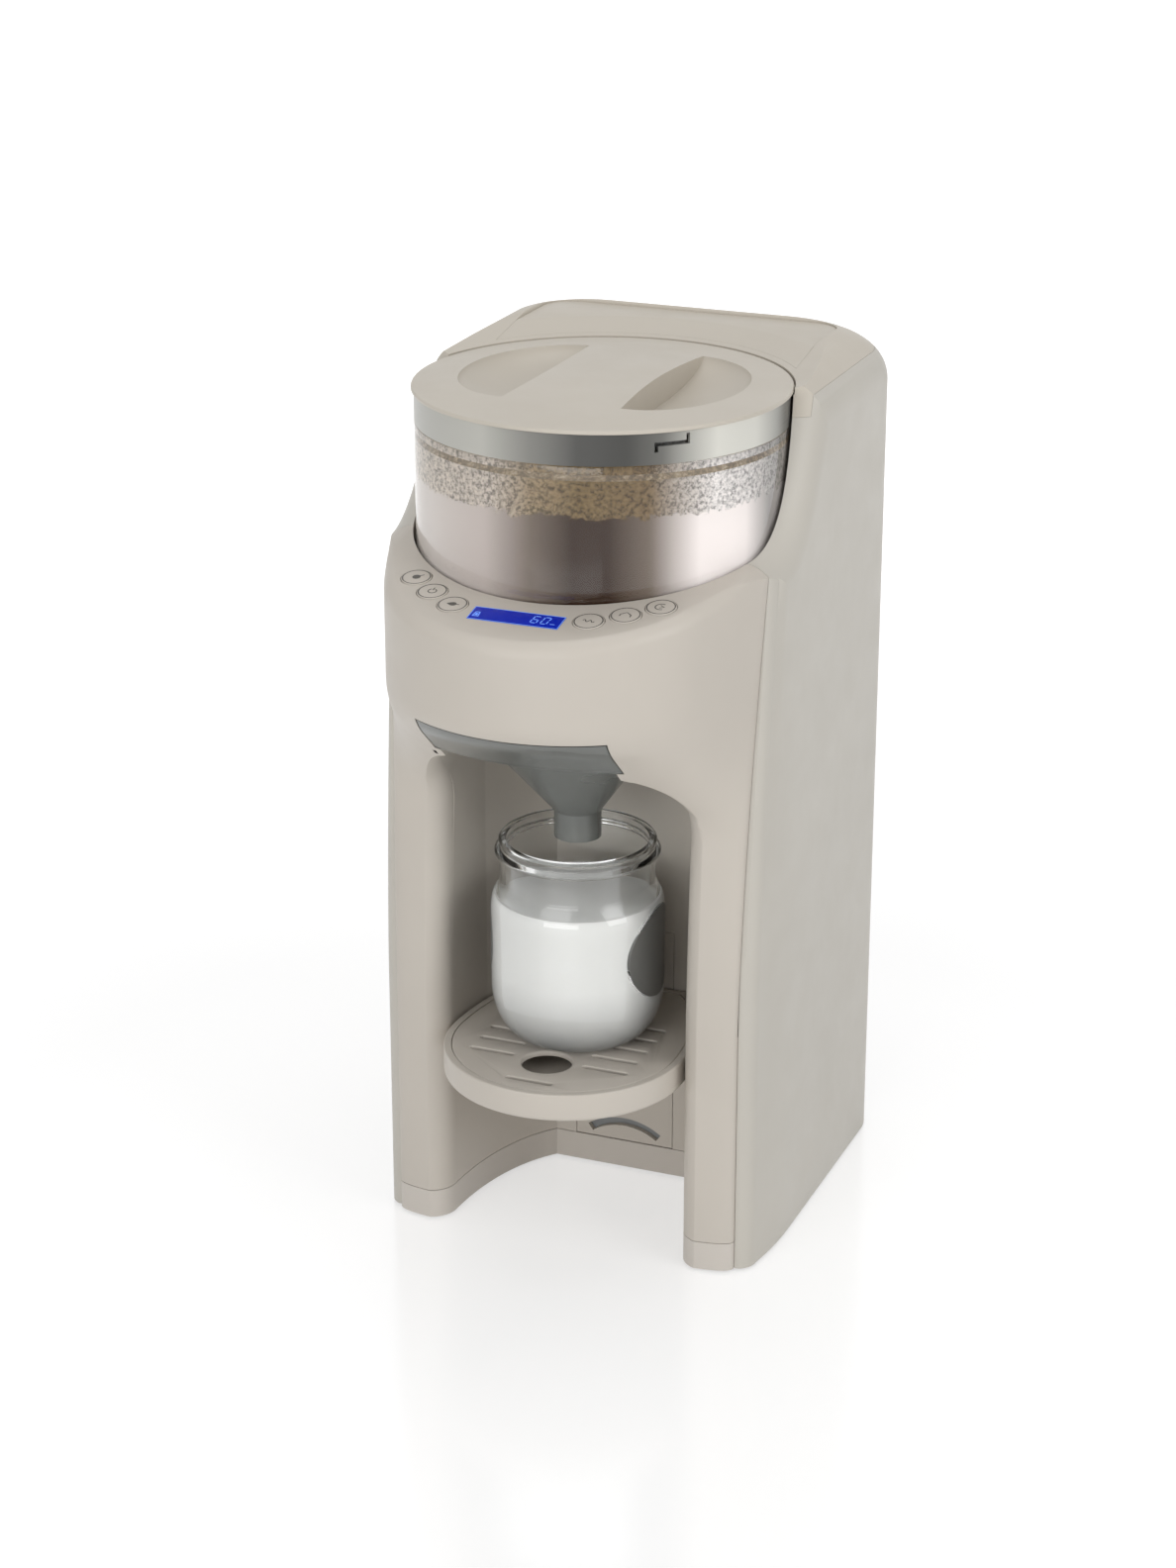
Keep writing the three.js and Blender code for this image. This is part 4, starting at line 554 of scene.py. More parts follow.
def panel_z(y):
    return PANEL_HEIGHT + (y - DISPLAY_Y) * math.tan(PANEL_TILT)


SEAM_TOP = panel_z(LIP_Y + SEAM_LEAN)


def seam_rise(z):
    return clamp((z - SEAM_START) / (SEAM_TOP - SEAM_START))


def seam_y(z):
    return LIP_Y + SEAM_LEAN * seam_rise(z) ** SEAM_POWER


def lip_turn(z):
    return lerp(LIP_ANGLE, SEAM_ANGLE, seam_rise(z))


def shell_half_width(y):
    ahead = max(0.0, BOW_START_Y - y) / BOW_LENGTH
    return HALF_WIDTH - SIDE_BOW * ahead ** 2


def shell_plan(inset, soft=0.0, z=0.0):
    radius = BACK_CORNER - inset + soft
    corner = inset + radius
    turn = lip_turn(z)
    lip_y = seam_y(z) + LIP_RADIUS * math.sin(math.radians(turn))
    right = arc(LIP_CENTRE_X, lip_y, max(LIP_RADIUS - inset, LIP_REACH), -turn, 0, 9)
    for i in range(1, 9):
        y = lerp(lip_y, BOW_START_Y, i / 8)
        right.append((shell_half_width(y) - inset, y))
    right += arc(HALF_WIDTH - corner, BACK_Y - corner, radius, 0, 90, 16)
    return mirrored(right)


def seam_levels():
    return [lerp(SEAM_START, SEAM_TOP, i / SEAM_STEPS) for i in range(SEAM_STEPS + 1)]


def shell_body(inset, bottom):
    """The wrap's volume, with a rounded shoulder at the top."""
    rounding = SHOULDER - inset
    top = TOP - inset
    rings = [level(shell_plan(inset, 0, z), z) for z in [bottom] + seam_levels()]
    for within, down in quarter_round(SHOULDER_STEPS):
        shrink = rounding * within
        z = top - rounding * down
        rings.append(level(shell_plan(inset + shrink, shrink * CORNER_SOFTENING, z), z))
    return lofted("wrap", rings)


def cheek_profile(inset):
    """Outline in Y and Z of what lies under the panel's plane and behind the cheek line."""
    start = (LIP_Y + SEAM_LEAN, SEAM_TOP - inset)
    middle = (AXIS_Y + inset, panel_z(AXIS_Y) - inset)
    end = (AXIS_Y + JAR_RADIUS / 4 + inset, TOP)
    line = quadratic(start, middle, end, 32)
    far = 2 * BACK_Y
    return [
        (-far, -far), (far, -far), (far, 2 * TOP), (end[0], 2 * TOP),
        *reversed(line), (-far, panel_z(-far) - inset),
    ]


def cheek_body(inset):
    radius = CHEEK_ROUNDING - inset
    half = HALF_WIDTH - inset - radius
    last = CHEEK_STEPS + 1
    rings = []
    for i in [*range(-last, 0), *range(1, last + 1)]:
        turn = math.pi / 2 * min(1.0, abs(i) / CHEEK_STEPS)
        x = math.copysign(half + radius * math.sin(turn) + (OVERRUN if abs(i) == last else 0), i)
        shrink = radius * (1 - math.cos(turn))
        rings.append([(x, y, z) for y, z in cheek_profile(inset + shrink)])
    return lofted("cheeks", rings)


def tank_plan(grow):
    side = TANK_HALF_WIDTH + grow
    back = TANK_BACK_Y + grow
    radius = TANK_CORNER + grow
    arc_radius = TANK_ARC - grow
    tip = math.degrees(math.acos(side / arc_radius))
    return (
        arc(side - radius, back - radius, radius, 0, 90, 12)
        + arc(-side + radius, back - radius, radius, 90, 180, 12)
        + arc(0, AXIS_Y, arc_radius, 180 - tip, tip, 48)
    )


def lid_dish(grow=0.0):
    """Cutter for the lid's room, which opens into a soft dish across the tower's top."""
    near = LID_RADIUS + 2 * GAP + grow
    low = LID_UNDER - 2 * GAP - grow
    far = DISH_RADIUS + grow
    top = TOP - grow
    start = (near, LID_TOP + GAP - grow)
    slope = cubic(start, (near + OVERRUN, LID_TOP + LID_EDGE - grow), (far - OVERRUN, top), (far, top), 16)
    profile = [(0, low), (near, low)] + slope + [(far, TOP + OVERRUN), (0, TOP + OVERRUN)]
    return turned("lid dish", profile, 0, AXIS_Y, FINE_STEPS)


def wrap():
    cavity = joined(
        shell_body(WALL, FLOOR_LIFT - OVERRUN),
        wide_box("front room", LIP_END_X, LIP_Y - OVERRUN, LIP_Y + SEAM_LEAN + WALL, FLOOR_LIFT - OVERRUN,
                 SEAM_TOP - WALL),
    )
    cut(cavity, cylinder("well", WELL_RADIUS, WELL_TOP + GAP, TOP + OVERRUN, 0, AXIS_Y), lid_dish(WALL))
    common(cavity, cheek_body(WALL))
    body = common(shell_body(0, FLOOR_LIFT), cheek_body(0))
    x, z = INLET
    return cut(
        body,
        cavity,
        cylinder("pocket", POCKET_RADIUS, WELL_TOP - 4 * OVERRUN, TOP + OVERRUN, 0, AXIS_Y),
        lid_dish(),
        opening("tank room", lambda grow: tank_plan(TANK_CLEARANCE + grow), CAP_BOTTOM - OVERRUN,
                TOP, RIM_ROUNDING),
        box("inlet room", x - INLET_HALF[0] - GAP, x + INLET_HALF[0] + GAP, BACK_Y - WALL - OVERRUN,
            BACK_Y + OVERRUN, z - INLET_HALF[1] - GAP, z + INLET_HALF[1] + GAP),
    )


def cap_region(inset, bottom):
    return prism("cap region", shell_plan(inset, inset * CORNER_SOFTENING), bottom, TOP + OVERRUN)


def side_wrap():
    return named(cut(wrap(), cap_region(CAP_INSET - SEAM_WIDTH / 2, CAP_BOTTOM - SEAM_WIDTH)), "side_wrap")


def tower_rim():
    return named(common(wrap(), cap_region(CAP_INSET + SEAM_WIDTH / 2, CAP_BOTTOM)), "tower_rim")


# Head, chin and legs

def head_edge_x(z):
    lip_x = LIP_CENTRE_X + LIP_RADIUS * math.cos(math.radians(lip_turn(z)))
    return lerp(LIP_END_X - LEG_INSIDE_GAP, lip_x, seam_rise(z))


def chin_share(z):
    """How far the head has drawn back to the legs, from 0 to 1, with soft ends."""
    t = (HEAD_BOTTOM - z) / (HEAD_BOTTOM - CHIN_END)
    soft = CHIN_SOFTNESS
    if t <= -soft or t >= 1 + soft:
        return clamp(t)
    if t < soft:
        return (t + soft) ** 2 / (4 * soft)
    if t > 1 - soft:
        return 1 - (1 + soft - t) ** 2 / (4 * soft)
    return t


def head_outline(edge, seam, inset):
    centre = FRONT_Y + NOSE_RADIUS
    front = arc(0, centre, NOSE_RADIUS - inset, -90, NOSE_ANGLE - 90, 36)
    turn = math.radians(NOSE_ANGLE)
    start = front[-1]
    middle = (start[0] + FLANK_LEAD * math.cos(turn), start[1] + FLANK_LEAD * math.sin(turn))
    return front + quadratic(start, middle, (edge, seam), 16)[1:]


def head_ring(z, height_at, inset, front_inset, back_reach):
    edge = head_edge_x(z) - inset
    seam = seam_y(z) - SEAM_STEP
    share = chin_share(z)
    right = []
    for x, y in head_outline(edge, seam, inset + front_inset):
        nose = seam - (LEG_NOSE_DEPTH - inset) * math.sqrt(max(0.0, 1 - (x / edge) ** LEG_NOSE_POWER))
        right.append((x, lerp(y, nose, share)))
    left = [(-x, y) for x, y in reversed(right[1:])]
    close = seam_y(z) + back_reach
    return [(x, y, height_at(y)) for x, y in left + right + [(edge, close), (-edge, close)]]


def head_levels(bottom):
    low = [bottom, LEG_LEVEL, SEAM_START, SEAM_START + GAP]
    rising = [lerp(SEAM_START, CHIN_LEVELS[0], i / RISE_STEPS) for i in range(1, RISE_STEPS + 1)]
    chin = [lerp(*CHIN_LEVELS, i / CHIN_STEPS) for i in range(1, CHIN_STEPS + 1)]
    return low + rising + chin + HEAD_LEVELS


def head_body(inset, bottom, open_back):
    def back(z):
        if open_back:
            return 2 * OVERRUN
        return LEG_TUCK if z <= SEAM_START else -GAP

    rings = [head_ring(z, lambda y, z=z: z, inset, 0, back(z)) for z in head_levels(bottom)]
    for within, down in quarter_round(PANEL_STEPS):
        drop = PANEL_ROUNDING * down + inset
        rings.append(head_ring(SEAM_TOP - drop, lambda y, drop=drop: panel_z(y) - drop, inset,
                               PANEL_ROUNDING * within, back(SEAM_TOP)))
    return common(lofted("head", rings), cheek_body(inset))


def bay_plan(grow, steps=28):
    start = (BAY_HALF_WIDTH + grow, BAY_WALL_START)
    end = (BAY_BACK_HALF_WIDTH + grow, BAY_BACK_Y + grow)
    first, second = [
        (lerp(end[0], start[0], across), lerp(start[1], end[1], along)) for across, along in BAY_CURVE
    ]
    wall_line = cubic(start, first, second, end, steps)
    return mirrored([(BAY_HALF_WIDTH + grow, FRONT_Y - OVERRUN)] + wall_line)


def bay_body(grow):
    half = BAY_HALF_WIDTH + grow
    top = BAY_CEILING + grow
    radius = BAY_ARCH + grow
    side = [(half, FLOOR_LIFT - OVERRUN)] + arc(half - radius, top - radius, radius, 0, 90, 24)
    arch = lofted("arch", across_y(mirrored(side), (FRONT_Y - 2 * OVERRUN, BACK_Y)))
    plan = prism("bay", bay_plan(grow), FLOOR_LIFT - OVERRUN, BAY_CEILING + grow)
    return common(plan, arch)


def front_at(x, z):
    """How far forward the head or leg stands at a width and a height."""
    outline = [(px, py) for px, py, _ in head_ring(z, lambda y: 0, 0, 0, 0) if px >= 0]
    for (x0, y0), (x1, y1) in zip(outline, outline[1:]):
        if x0 <= x <= x1:
            return lerp(y0, y1, (x - x0) / (x1 - x0))
    raise RuntimeError("the leg is narrower than the bay")


def leg_rounding(core=False):
    """Cutter that rounds the bay's front edge up the legs and into the arch.

    core gives the solid that stands behind the rounding.
    """
    spring = BAY_CEILING - BAY_ARCH
    edges = [(BAY_HALF_WIDTH, z, LEG_ROUNDING) for z in (-OVERRUN, SEAM_START)]
    for i in range(1, SPRING_STEPS):
        edges.append((BAY_HALF_WIDTH, lerp(SEAM_START, spring, i / SPRING_STEPS), LEG_ROUNDING))
    for i in range(ARCH_STEPS + 1):
        turn = math.radians(ARCH_TURN * i / ARCH_STEPS)
        x = BAY_HALF_WIDTH - BAY_ARCH * (1 - math.cos(turn))
        radius = lerp(LEG_ROUNDING, ARCH_ROUNDING, i / ARCH_STEPS)
        edges.append((x, spring + BAY_ARCH * math.sin(turn), radius))
    rings = []
    for x, z, radius in edges:
        y = front_at(x, z)
        if core:
            side, back = x + radius + WALL, y + radius + WALL
            points = [(x - OVERRUN, y - OVERRUN), (side, y - OVERRUN), (side, back), (x - OVERRUN, back)]
        else:
            points = [
                (x - OVERRUN, y - 2 * OVERRUN), (x + radius, y - 2 * OVERRUN),
                *arc(x + radius, y + radius, radius, 270, 180, 14), (x - OVERRUN, y + radius),
            ]
        rings.append(level(points, z))
    left = [[(-x, y, z) for x, y, z in ring] for ring in rings]
    return joined(lofted("leg rounding", rings), lofted("leg rounding", left))


def funnel_slot(grow):
    half = FUNNEL_HALF_WIDTH + 2 * GAP + grow
    front = FRONT_Y - OVERRUN
    bottom = BAY_CEILING + WALL - grow
    return joined(
        wide_box("slot", half, front, SLOT_BACK + grow, bottom, SLOT_TOP + grow),
        wide_box("riser", half, front, RISER_Y + grow, bottom, FLANGE_TOP + 2 * GAP + grow),
    )


PANEL_PLACE = Matrix.Translation((0, DISPLAY_Y, PANEL_HEIGHT)) @ Matrix.Rotation(PANEL_TILT, 4, "X")


def panel_point(reach, angle):
    x, y = around_jar(reach, angle)
    return x, (y - DISPLAY_Y) / math.cos(PANEL_TILT)


def button_places():
    places = []
    for i, (angle, share) in enumerate(zip(BUTTON_ANGLES, BUTTON_SHARES)):
        turn = math.radians(angle)
        setback = AXIS_Y - (FRONT_Y + NOSE_RADIUS)
        across = setback * math.sin(turn)
        outer = setback * math.cos(turn) + math.sqrt(NOSE_RADIUS ** 2 - across ** 2)
        reach = lerp(POCKET_RADIUS, outer, share)
        places.append(("left", i + 1, panel_point(reach, -angle)))
        places.append(("right", i + 1, panel_point(reach, angle)))
    return places


def front_shell():
    bottom = BASE_TOP + GAP
    outer = head_body(0, bottom, False)
    inner = head_body(WALL, bottom - OVERRUN, True)
    room = wide_box("behind", BAY_HALF_WIDTH + 2 * WALL, LIP_Y - OVERRUN / 2, BAY_BACK_Y + WALL, bottom,
                    FLANGE_TOP + OVERRUN)
    room = joined(head_body(0, bottom, False), room)
    liner = common(joined(bay_body(WALL), funnel_slot(WALL), leg_rounding(True)), room)
    cut(liner, wide_box("below", HALF_WIDTH, FRONT_Y - OVERRUN, BACK_Y, -OVERRUN, bottom))
    shell = joined(cut(outer, inner), liner)
    rail = FUNNEL_HALF_WIDTH + 2 * GAP - RAIL_OVERLAP
    half_y = OUTLET_HALF_DEPTH + CHUTE_WALL + GAP
    ceiling = (SLOT_TOP - GAP, SLOT_TOP + WALL + GAP)
    cut(
        shell,
        bay_body(0),
        leg_rounding(),
        funnel_slot(0),
        wide_box("rails", rail, FRONT_Y - OVERRUN, SLOT_BACK - GAP, BAY_CEILING - OVERRUN,
                 BAY_CEILING + WALL + GAP),
        cylinder("pocket", POCKET_RADIUS, DECK_TOP, TOP, 0, AXIS_Y),
        on_panel(wide_box("display room", DISPLAY_WIDTH / 2, -DISPLAY_HEIGHT / 2, DISPLAY_HEIGHT / 2,
                       -OVERRUN, OVERRUN)),
        wide_box("plate room", PLATE_HALF_WIDTH + GAP, BAY_BACK_Y - GAP, BAY_BACK_Y + WALL + GAP, 0,
                 PLATE_TOP + GAP),
        wide_box("chute room", OUTLET_HALF_WIDTH + CHUTE_WALL + GAP, OUTLET_Y - half_y, OUTLET_Y + half_y,
                 *ceiling),
        cylinder("nozzle room", NOZZLE[2], *ceiling, NOZZLE[0], NOZZLE[1], 24),
    )
    for _, _, (x, y) in button_places():
        hole = cylinder("button room", BUTTON_RADIUS + GAP, -OVERRUN, OVERRUN, x, y, BUTTON_STEPS)
        cut(shell, on_panel(hole))
    return named(shell, "front_shell")


def leg_plan(inset):
    return [(x, y) for x, y, _ in head_ring(BASE_TOP, lambda y: 0, inset, 0, LEG_TUCK - inset)]


def base_band():
    clear = WALL + GAP

    def outline(inset, bottom, top):
        return joined(
            prism("legs", leg_plan(inset), bottom, top),
            prism("inside", shell_plan(clear + inset), bottom, top),
        )

    body = cut(outline(0, FLOOR_LIFT, BASE_TOP), bay_body(0), leg_rounding())
    hollow = cut(outline(WALL, FLOOR_LIFT + WALL, BASE_TOP + OVERRUN), bay_body(WALL), leg_rounding(True))
    cut(body, hollow)
    for node in ("foot_front_left", "foot_front_right", "foot_rear_left", "foot_rear_right"):
        low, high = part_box(node)
        x, y = (low.x + high.x) / 2, (low.y + high.y) / 2
        cut(body, cylinder("foot room", FOOT_ROOM, 0, high.z + GAP, x, y, 48))
    return named(body, "base_band")


def slot_outline(height, grow):
    half = SLOT_THICKNESS / 2 + grow
    spread = SLOT_HALF_ANGLE + math.degrees(grow / SLOT_RADIUS)
    centre = height - SLOT_RADIUS
    return (
        arc(0, centre, SLOT_RADIUS + half, 90 - spread, 90 + spread, 28)
        + arc(0, centre, SLOT_RADIUS - half, 90 + spread, 90 - spread, 28)
    )


TONGUE_HEIGHT = TRAY_TOP - TRAY_HEIGHT / 2


def bay_plate():
    plate = wide_box("bay_plate", PLATE_HALF_WIDTH, BAY_BACK_Y, BAY_BACK_Y + WALL, BASE_TOP + 2 * GAP,
                     PLATE_TOP)
    for i in range(3):
        outline = slot_outline(TONGUE_HEIGHT + SLOT_THICKNESS / 2 - i * SLOT_PITCH, TONGUE_CLEARANCE)
        cut(plate, lofted("tongue slot", across_y(outline, (BAY_BACK_Y - OVERRUN, BAY_BACK_Y + 2 * OVERRUN))))
    return plate


# Container, lid and powder

def jar():
    step = SKIRT_BOTTOM - GAP
    profile = [
        (0, DECK_TOP + GAP), (JAR_RADIUS, DECK_TOP + GAP), (JAR_RADIUS, step), (NECK_RADIUS, step),
        (NECK_RADIUS, NECK_TOP), (NECK_RADIUS - JAR_WALL, NECK_TOP),
        (NECK_RADIUS - JAR_WALL, step - 2 * JAR_WALL), (JAR_INNER, step - 3 * JAR_WALL),
        (JAR_INNER, DECK_TOP + GAP + JAR_FLOOR), (0, DECK_TOP + GAP + JAR_FLOOR),
    ]
    body = turned("powder_jar", rounded_profile(profile, JAR_ROUNDINGS), 0, AXIS_Y, FINE_STEPS)
    return cut(
        body,
        cylinder("shaft room", SHAFT_ROOM, DECK_TOP - OVERRUN, DECK_TOP + OVERRUN, 0, AXIS_Y, 48),
        wide_box("outlet", OUTLET_HALF_WIDTH, OUTLET_Y - OUTLET_HALF_DEPTH, OUTLET_Y + OUTLET_HALF_DEPTH,
                 DECK_TOP - OVERRUN, DECK_TOP + GAP + JAR_FLOOR + GAP),
    )


def scoop(side, grow):
    """An ellipsoid beside the grip bar, cut by the bar's wall, which is waisted in the middle."""
    centre = AXIS_Y + SCOOP_SETBACK
    bm = bmesh.new()
    bmesh.ops.create_uvsphere(bm, u_segments=96, v_segments=48, radius=1)
    bmesh.ops.scale(bm, vec=[radius + grow for radius in SCOOP_RADII], verts=bm.verts)
    bmesh.ops.translate(bm, vec=(side * GRIP_HALF_WIDTH, centre, LID_TOP + SCOOP_RISE), verts=bm.verts)
    ball = as_object("scoop", bm)
    wall_line = []
    for i in range(25):
        share = lerp(-1, 1, i / 24)
        waist = GRIP_WAIST * math.cos(math.pi / 2 * share)
        wall_line.append((side * (GRIP_HALF_WIDTH - waist - grow), centre + share * SCOOP_RADII[1]))
    far = LID_RADIUS
    outline = [(side * far, centre - far), (wall_line[0][0], centre - far)] + wall_line
    outline += [(wall_line[-1][0], centre + far), (side * far, centre + far)]
    depth = 2 * SCOOP_RADII[2]
    return common(ball, prism("scoop side", outline, LID_TOP - depth, LID_TOP + depth))


def jar_lid():
    inner = NECK_RADIUS - JAR_WALL - LID_LIP_GAP
    lip = inner - LID_LIP_WALL
    low = LID_UNDER - LID_LIP_HEIGHT
    edge = [
        (0, LID_TOP - LID_PLATE), (lip, LID_TOP - LID_PLATE), (lip, low), (inner, low),
        (inner, LID_UNDER), (LID_RADIUS, LID_UNDER), (LID_RADIUS, LID_TOP),
        (LID_RADIUS - LID_RIM_RUN, LID_TOP + LID_RIM_RISE),
    ]
    dome = [(reach, LID_TOP + LID_DOME * (1 - (reach / LID_RADIUS) ** 2))
            for reach in [LID_RADIUS * i / DOME_STEPS for i in range(DOME_STEPS - 2, -1, -1)]]
    body = turned("jar_lid", rounded_profile(edge, LID_ROUNDINGS) + dome, 0, AXIS_Y, FINE_STEPS)
    for side in (-1, 1):
        ceiling = wide_box("under lid", LID_RADIUS, AXIS_Y - LID_RADIUS, AXIS_Y + LID_RADIUS, DECK_TOP,
                           LID_TOP - GAP)
        joined(body, common(scoop(side, SCOOP_SKIN), ceiling))
    return cut(body, scoop(-1, 0), scoop(1, 0))


def ring_slice(start, end, bottom, top):
    inner = arc(0, AXIS_Y, NECK_RADIUS - OVERRUN, start, end, 8)
    outer = arc(0, AXIS_Y, JAR_RADIUS + OVERRUN, end, start, 8)
    return prism("notch", inner + outer, bottom, top)


def jar_ring():
    top = SKIRT_BOTTOM + SKIRT_HEIGHT
    inner = NECK_RADIUS + GAP
    profile = [(inner, SKIRT_BOTTOM), (JAR_RADIUS, SKIRT_BOTTOM), (JAR_RADIUS, top), (inner, top)]
    band = turned("jar_ring", profile, 0, AXIS_Y, FINE_STEPS, whole=True)
    middle = top - NOTCH_DROP
    run = math.degrees(NOTCH_RUN / JAR_RADIUS)
    width = math.degrees(NOTCH_WIDTH / JAR_RADIUS)
    start = NOTCH_ANGLE - 90
    return cut(
        band,
        ring_slice(start - run, start, middle - NOTCH_WIDTH / 2, middle + NOTCH_WIDTH / 2),
        ring_slice(start - width, start, middle, top - NOTCH_WIDTH / 2),
        ring_slice(start - run, start - run + width, middle - NOTCH_HOOK, middle),
    )


def powder_height(x, y, lump):
    """The loose top of the powder: long heaps with clods on them."""
    spot = Vector((x, y, 0))
    heap = noise.noise(spot * HEAP_SCALE + POWDER_SEED) * HEAP_SHARE
    clods = noise.turbulence(spot * CLOD_SCALE + POWDER_SEED, 3, False) - CLOD_DROP
    grains = noise.noise(spot * GRAIN_SCALE + POWDER_SEED)
    return lump * (heap + CLOD_SHARE * clods + GRAIN_SHARE * grains) - lump


def powder_heap(lump):
    """Powder that fills the jar and clings to its wall up to the ring."""
    step = SKIRT_BOTTOM - GAP
    outer = [(JAR_INNER, POWDER_BOTTOM), (JAR_INNER, step - 3 * JAR_WALL),
             (NECK_RADIUS - JAR_WALL, step - 2 * JAR_WALL), (NECK_RADIUS - JAR_WALL, step)]
    outer = [(radius + POWDER_PRESS, z) for radius, z in outer]
    film = [(radius - POWDER_FILM, z) for radius, z in reversed(outer[1:])]
    edge = film[-1][0]
    top = [(edge * (1 - i / POWDER_RINGS), POWDER_TOP) for i in range(POWDER_RINGS + 1)]
    piece = turned("powder_heap", [(0, POWDER_BOTTOM)] + outer + film + top, 0, AXIS_Y, POWDER_STEPS)
    for vert in piece.data.vertices:
        if abs(vert.co.z - POWDER_TOP) < GAP:
            vert.co.z += powder_height(vert.co.x, vert.co.y, lump)
    return piece


# Funnel, tray and bottle

def oval(radius_x, radius_y, y, z):
    turns = [math.tau * i / CIRCLE_STEPS for i in range(CIRCLE_STEPS)]
    return [(radius_x * math.cos(t), y + radius_y * math.sin(t), z) for t in turns]


def cone(inset, bottom, top):
    def mouth(z):
        return oval(MOUTH_RADII[0] - inset, MOUTH_RADII[1] - inset, MOUTH_Y, z)

    def throat(z):
        return oval(SPOUT_RADIUS - inset, SPOUT_RADIUS - inset, BOTTLE_Y, z)

    rings = [throat(bottom), throat(CONE_BOTTOM), mouth(FRAME_BOTTOM - FUNNEL_WALL), mouth(top)]
    return lofted("cone", rings)


def funnel_body():
    low = CHIN_END - 2 * OVERRUN
    flange = common(
        cut(head_body(GAP, low, False), head_body(FLANGE_THICKNESS + GAP, low - OVERRUN, True)),
        wide_box("flange part", FUNNEL_HALF_WIDTH, FRONT_Y - OVERRUN, RISER_Y, FRAME_BOTTOM, FLANGE_TOP),
    )
    plate = common(
        wide_box("plate", FUNNEL_HALF_WIDTH, FRONT_Y, FUNNEL_BACK, FRAME_BOTTOM, FRAME_TOP),
        head_body(GAP, low, False),
    )
    behind = wide_box("behind", FUNNEL_HALF_WIDTH, RISER_Y, FUNNEL_BACK, FRAME_BOTTOM, FRAME_TOP)
    body = joined(flange, plate, behind, cone(0, SPOUT_END, FRAME_TOP))
    cut(body, cone(FUNNEL_WALL, SPOUT_END - OVERRUN, FRAME_TOP + OVERRUN))
    return named(body, "funnel_body")


def tray_plan(inset):
    radius = TRAY_RADIUS - inset
    walls = [(x, y) for x, y in bay_plan(-TRAY_CLEARANCE - inset, 40) if x > 0 and y > TRAY_Y]
    side = [(x, y) for x, y in walls if x < radius]
    return mirrored(arc(0, TRAY_Y, radius, -90, 0, 48) + side)[:-1]


def fixed_count(plan):
    """An outline given again with the same number of points at even steps."""
    def even(inset):
        points = [Vector(p) for p in plan(inset)]
        points.append(points[0])
        lengths = [0.0]
        for a, b in zip(points, points[1:]):
            lengths.append(lengths[-1] + (b - a).length)
        result = []
        k = 0
        for i in range(TRAY_POINTS):
            target = lengths[-1] * i / TRAY_POINTS
            while lengths[k + 1] < target:
                k += 1
            share = (target - lengths[k]) / max(lengths[k + 1] - lengths[k], WELD / 10)
            result.append(tuple(points[k].lerp(points[k + 1], share)))
        return result

    return even


def tray_pan():
    bottom = TRAY_TOP - TRAY_HEIGHT
    plan = fixed_count(tray_plan)
    body = rounded_prism("tray_pan", plan, bottom, TRAY_TOP, *TRAY_ROUNDINGS)
    outline = slot_outline(TONGUE_HEIGHT + SLOT_THICKNESS / 2, 0)
    depths = (BAY_BACK_Y - GAP - OVERRUN, BAY_BACK_Y + TONGUE_DEPTH - GAP)
    joined(body, lofted("tongue", across_y(outline, depths)))
    return cut(
        body,
        prism("grate room", plan(TRAY_RIM), TRAY_TOP - GRATE_THICKNESS - GAP, TRAY_TOP + OVERRUN),
        prism("well", plan(TRAY_RIM + TRAY_LEDGE), bottom + TRAY_FLOOR, TRAY_TOP + OVERRUN),
    )


def grate_slot(x0, x1, y):
    radius = GRATE_SLOT_WIDTH / 2

    def plan(grow):
        return (
            arc(x1 - radius, y, radius + grow, -90, 90, 12)
            + arc(x0 + radius, y, radius + grow, 90, 270, 12)
        )

    return opening("drain slot", plan, TRAY_TOP - GRATE_THICKNESS - OVERRUN, TRAY_TOP, GRATE_ROUNDING, 4)


def tray_cover():
    plan = fixed_count(tray_plan)
    body = rounded_prism(
        "tray_cover", lambda inset: plan(TRAY_RIM + GAP + inset), TRAY_TOP - GRATE_THICKNESS, TRAY_TOP,
        0, GRATE_ROUNDING, 4,
    )

    def hole(grow):
        return whole_circle(0, HOLE_Y, HOLE_RADIUS + grow)

    cut(
        body,
        opening("drain hole", hole, TRAY_TOP - GRATE_THICKNESS - OVERRUN, TRAY_TOP, HOLE_ROUNDING),
        grate_slot(-FRONT_SLOT_HALF, FRONT_SLOT_HALF, FRONT_SLOT_Y),
    )
    for i in range(5):
        for side in (-1, 1):
            ends = sorted((side * GRATE_SLOT[0], side * GRATE_SLOT[1]))
            cut(body, grate_slot(*ends, ROW_START + i * ROW_PITCH))
    return body


def base_round(wall):
    """Radii and heights round the base's edge, a wall's thickness inside the bottle."""
    turns = [math.pi / 2 * i / BASE_STEPS for i in range(BASE_STEPS + 1)]
    return [(BOTTLE_BASE + (BOTTLE_RADIUS - BOTTLE_BASE - wall) * math.sin(turn),
             BOTTLE_BOTTOM + wall + (BOTTLE_ROUND - wall) * (1 - math.cos(turn))) for turn in turns]


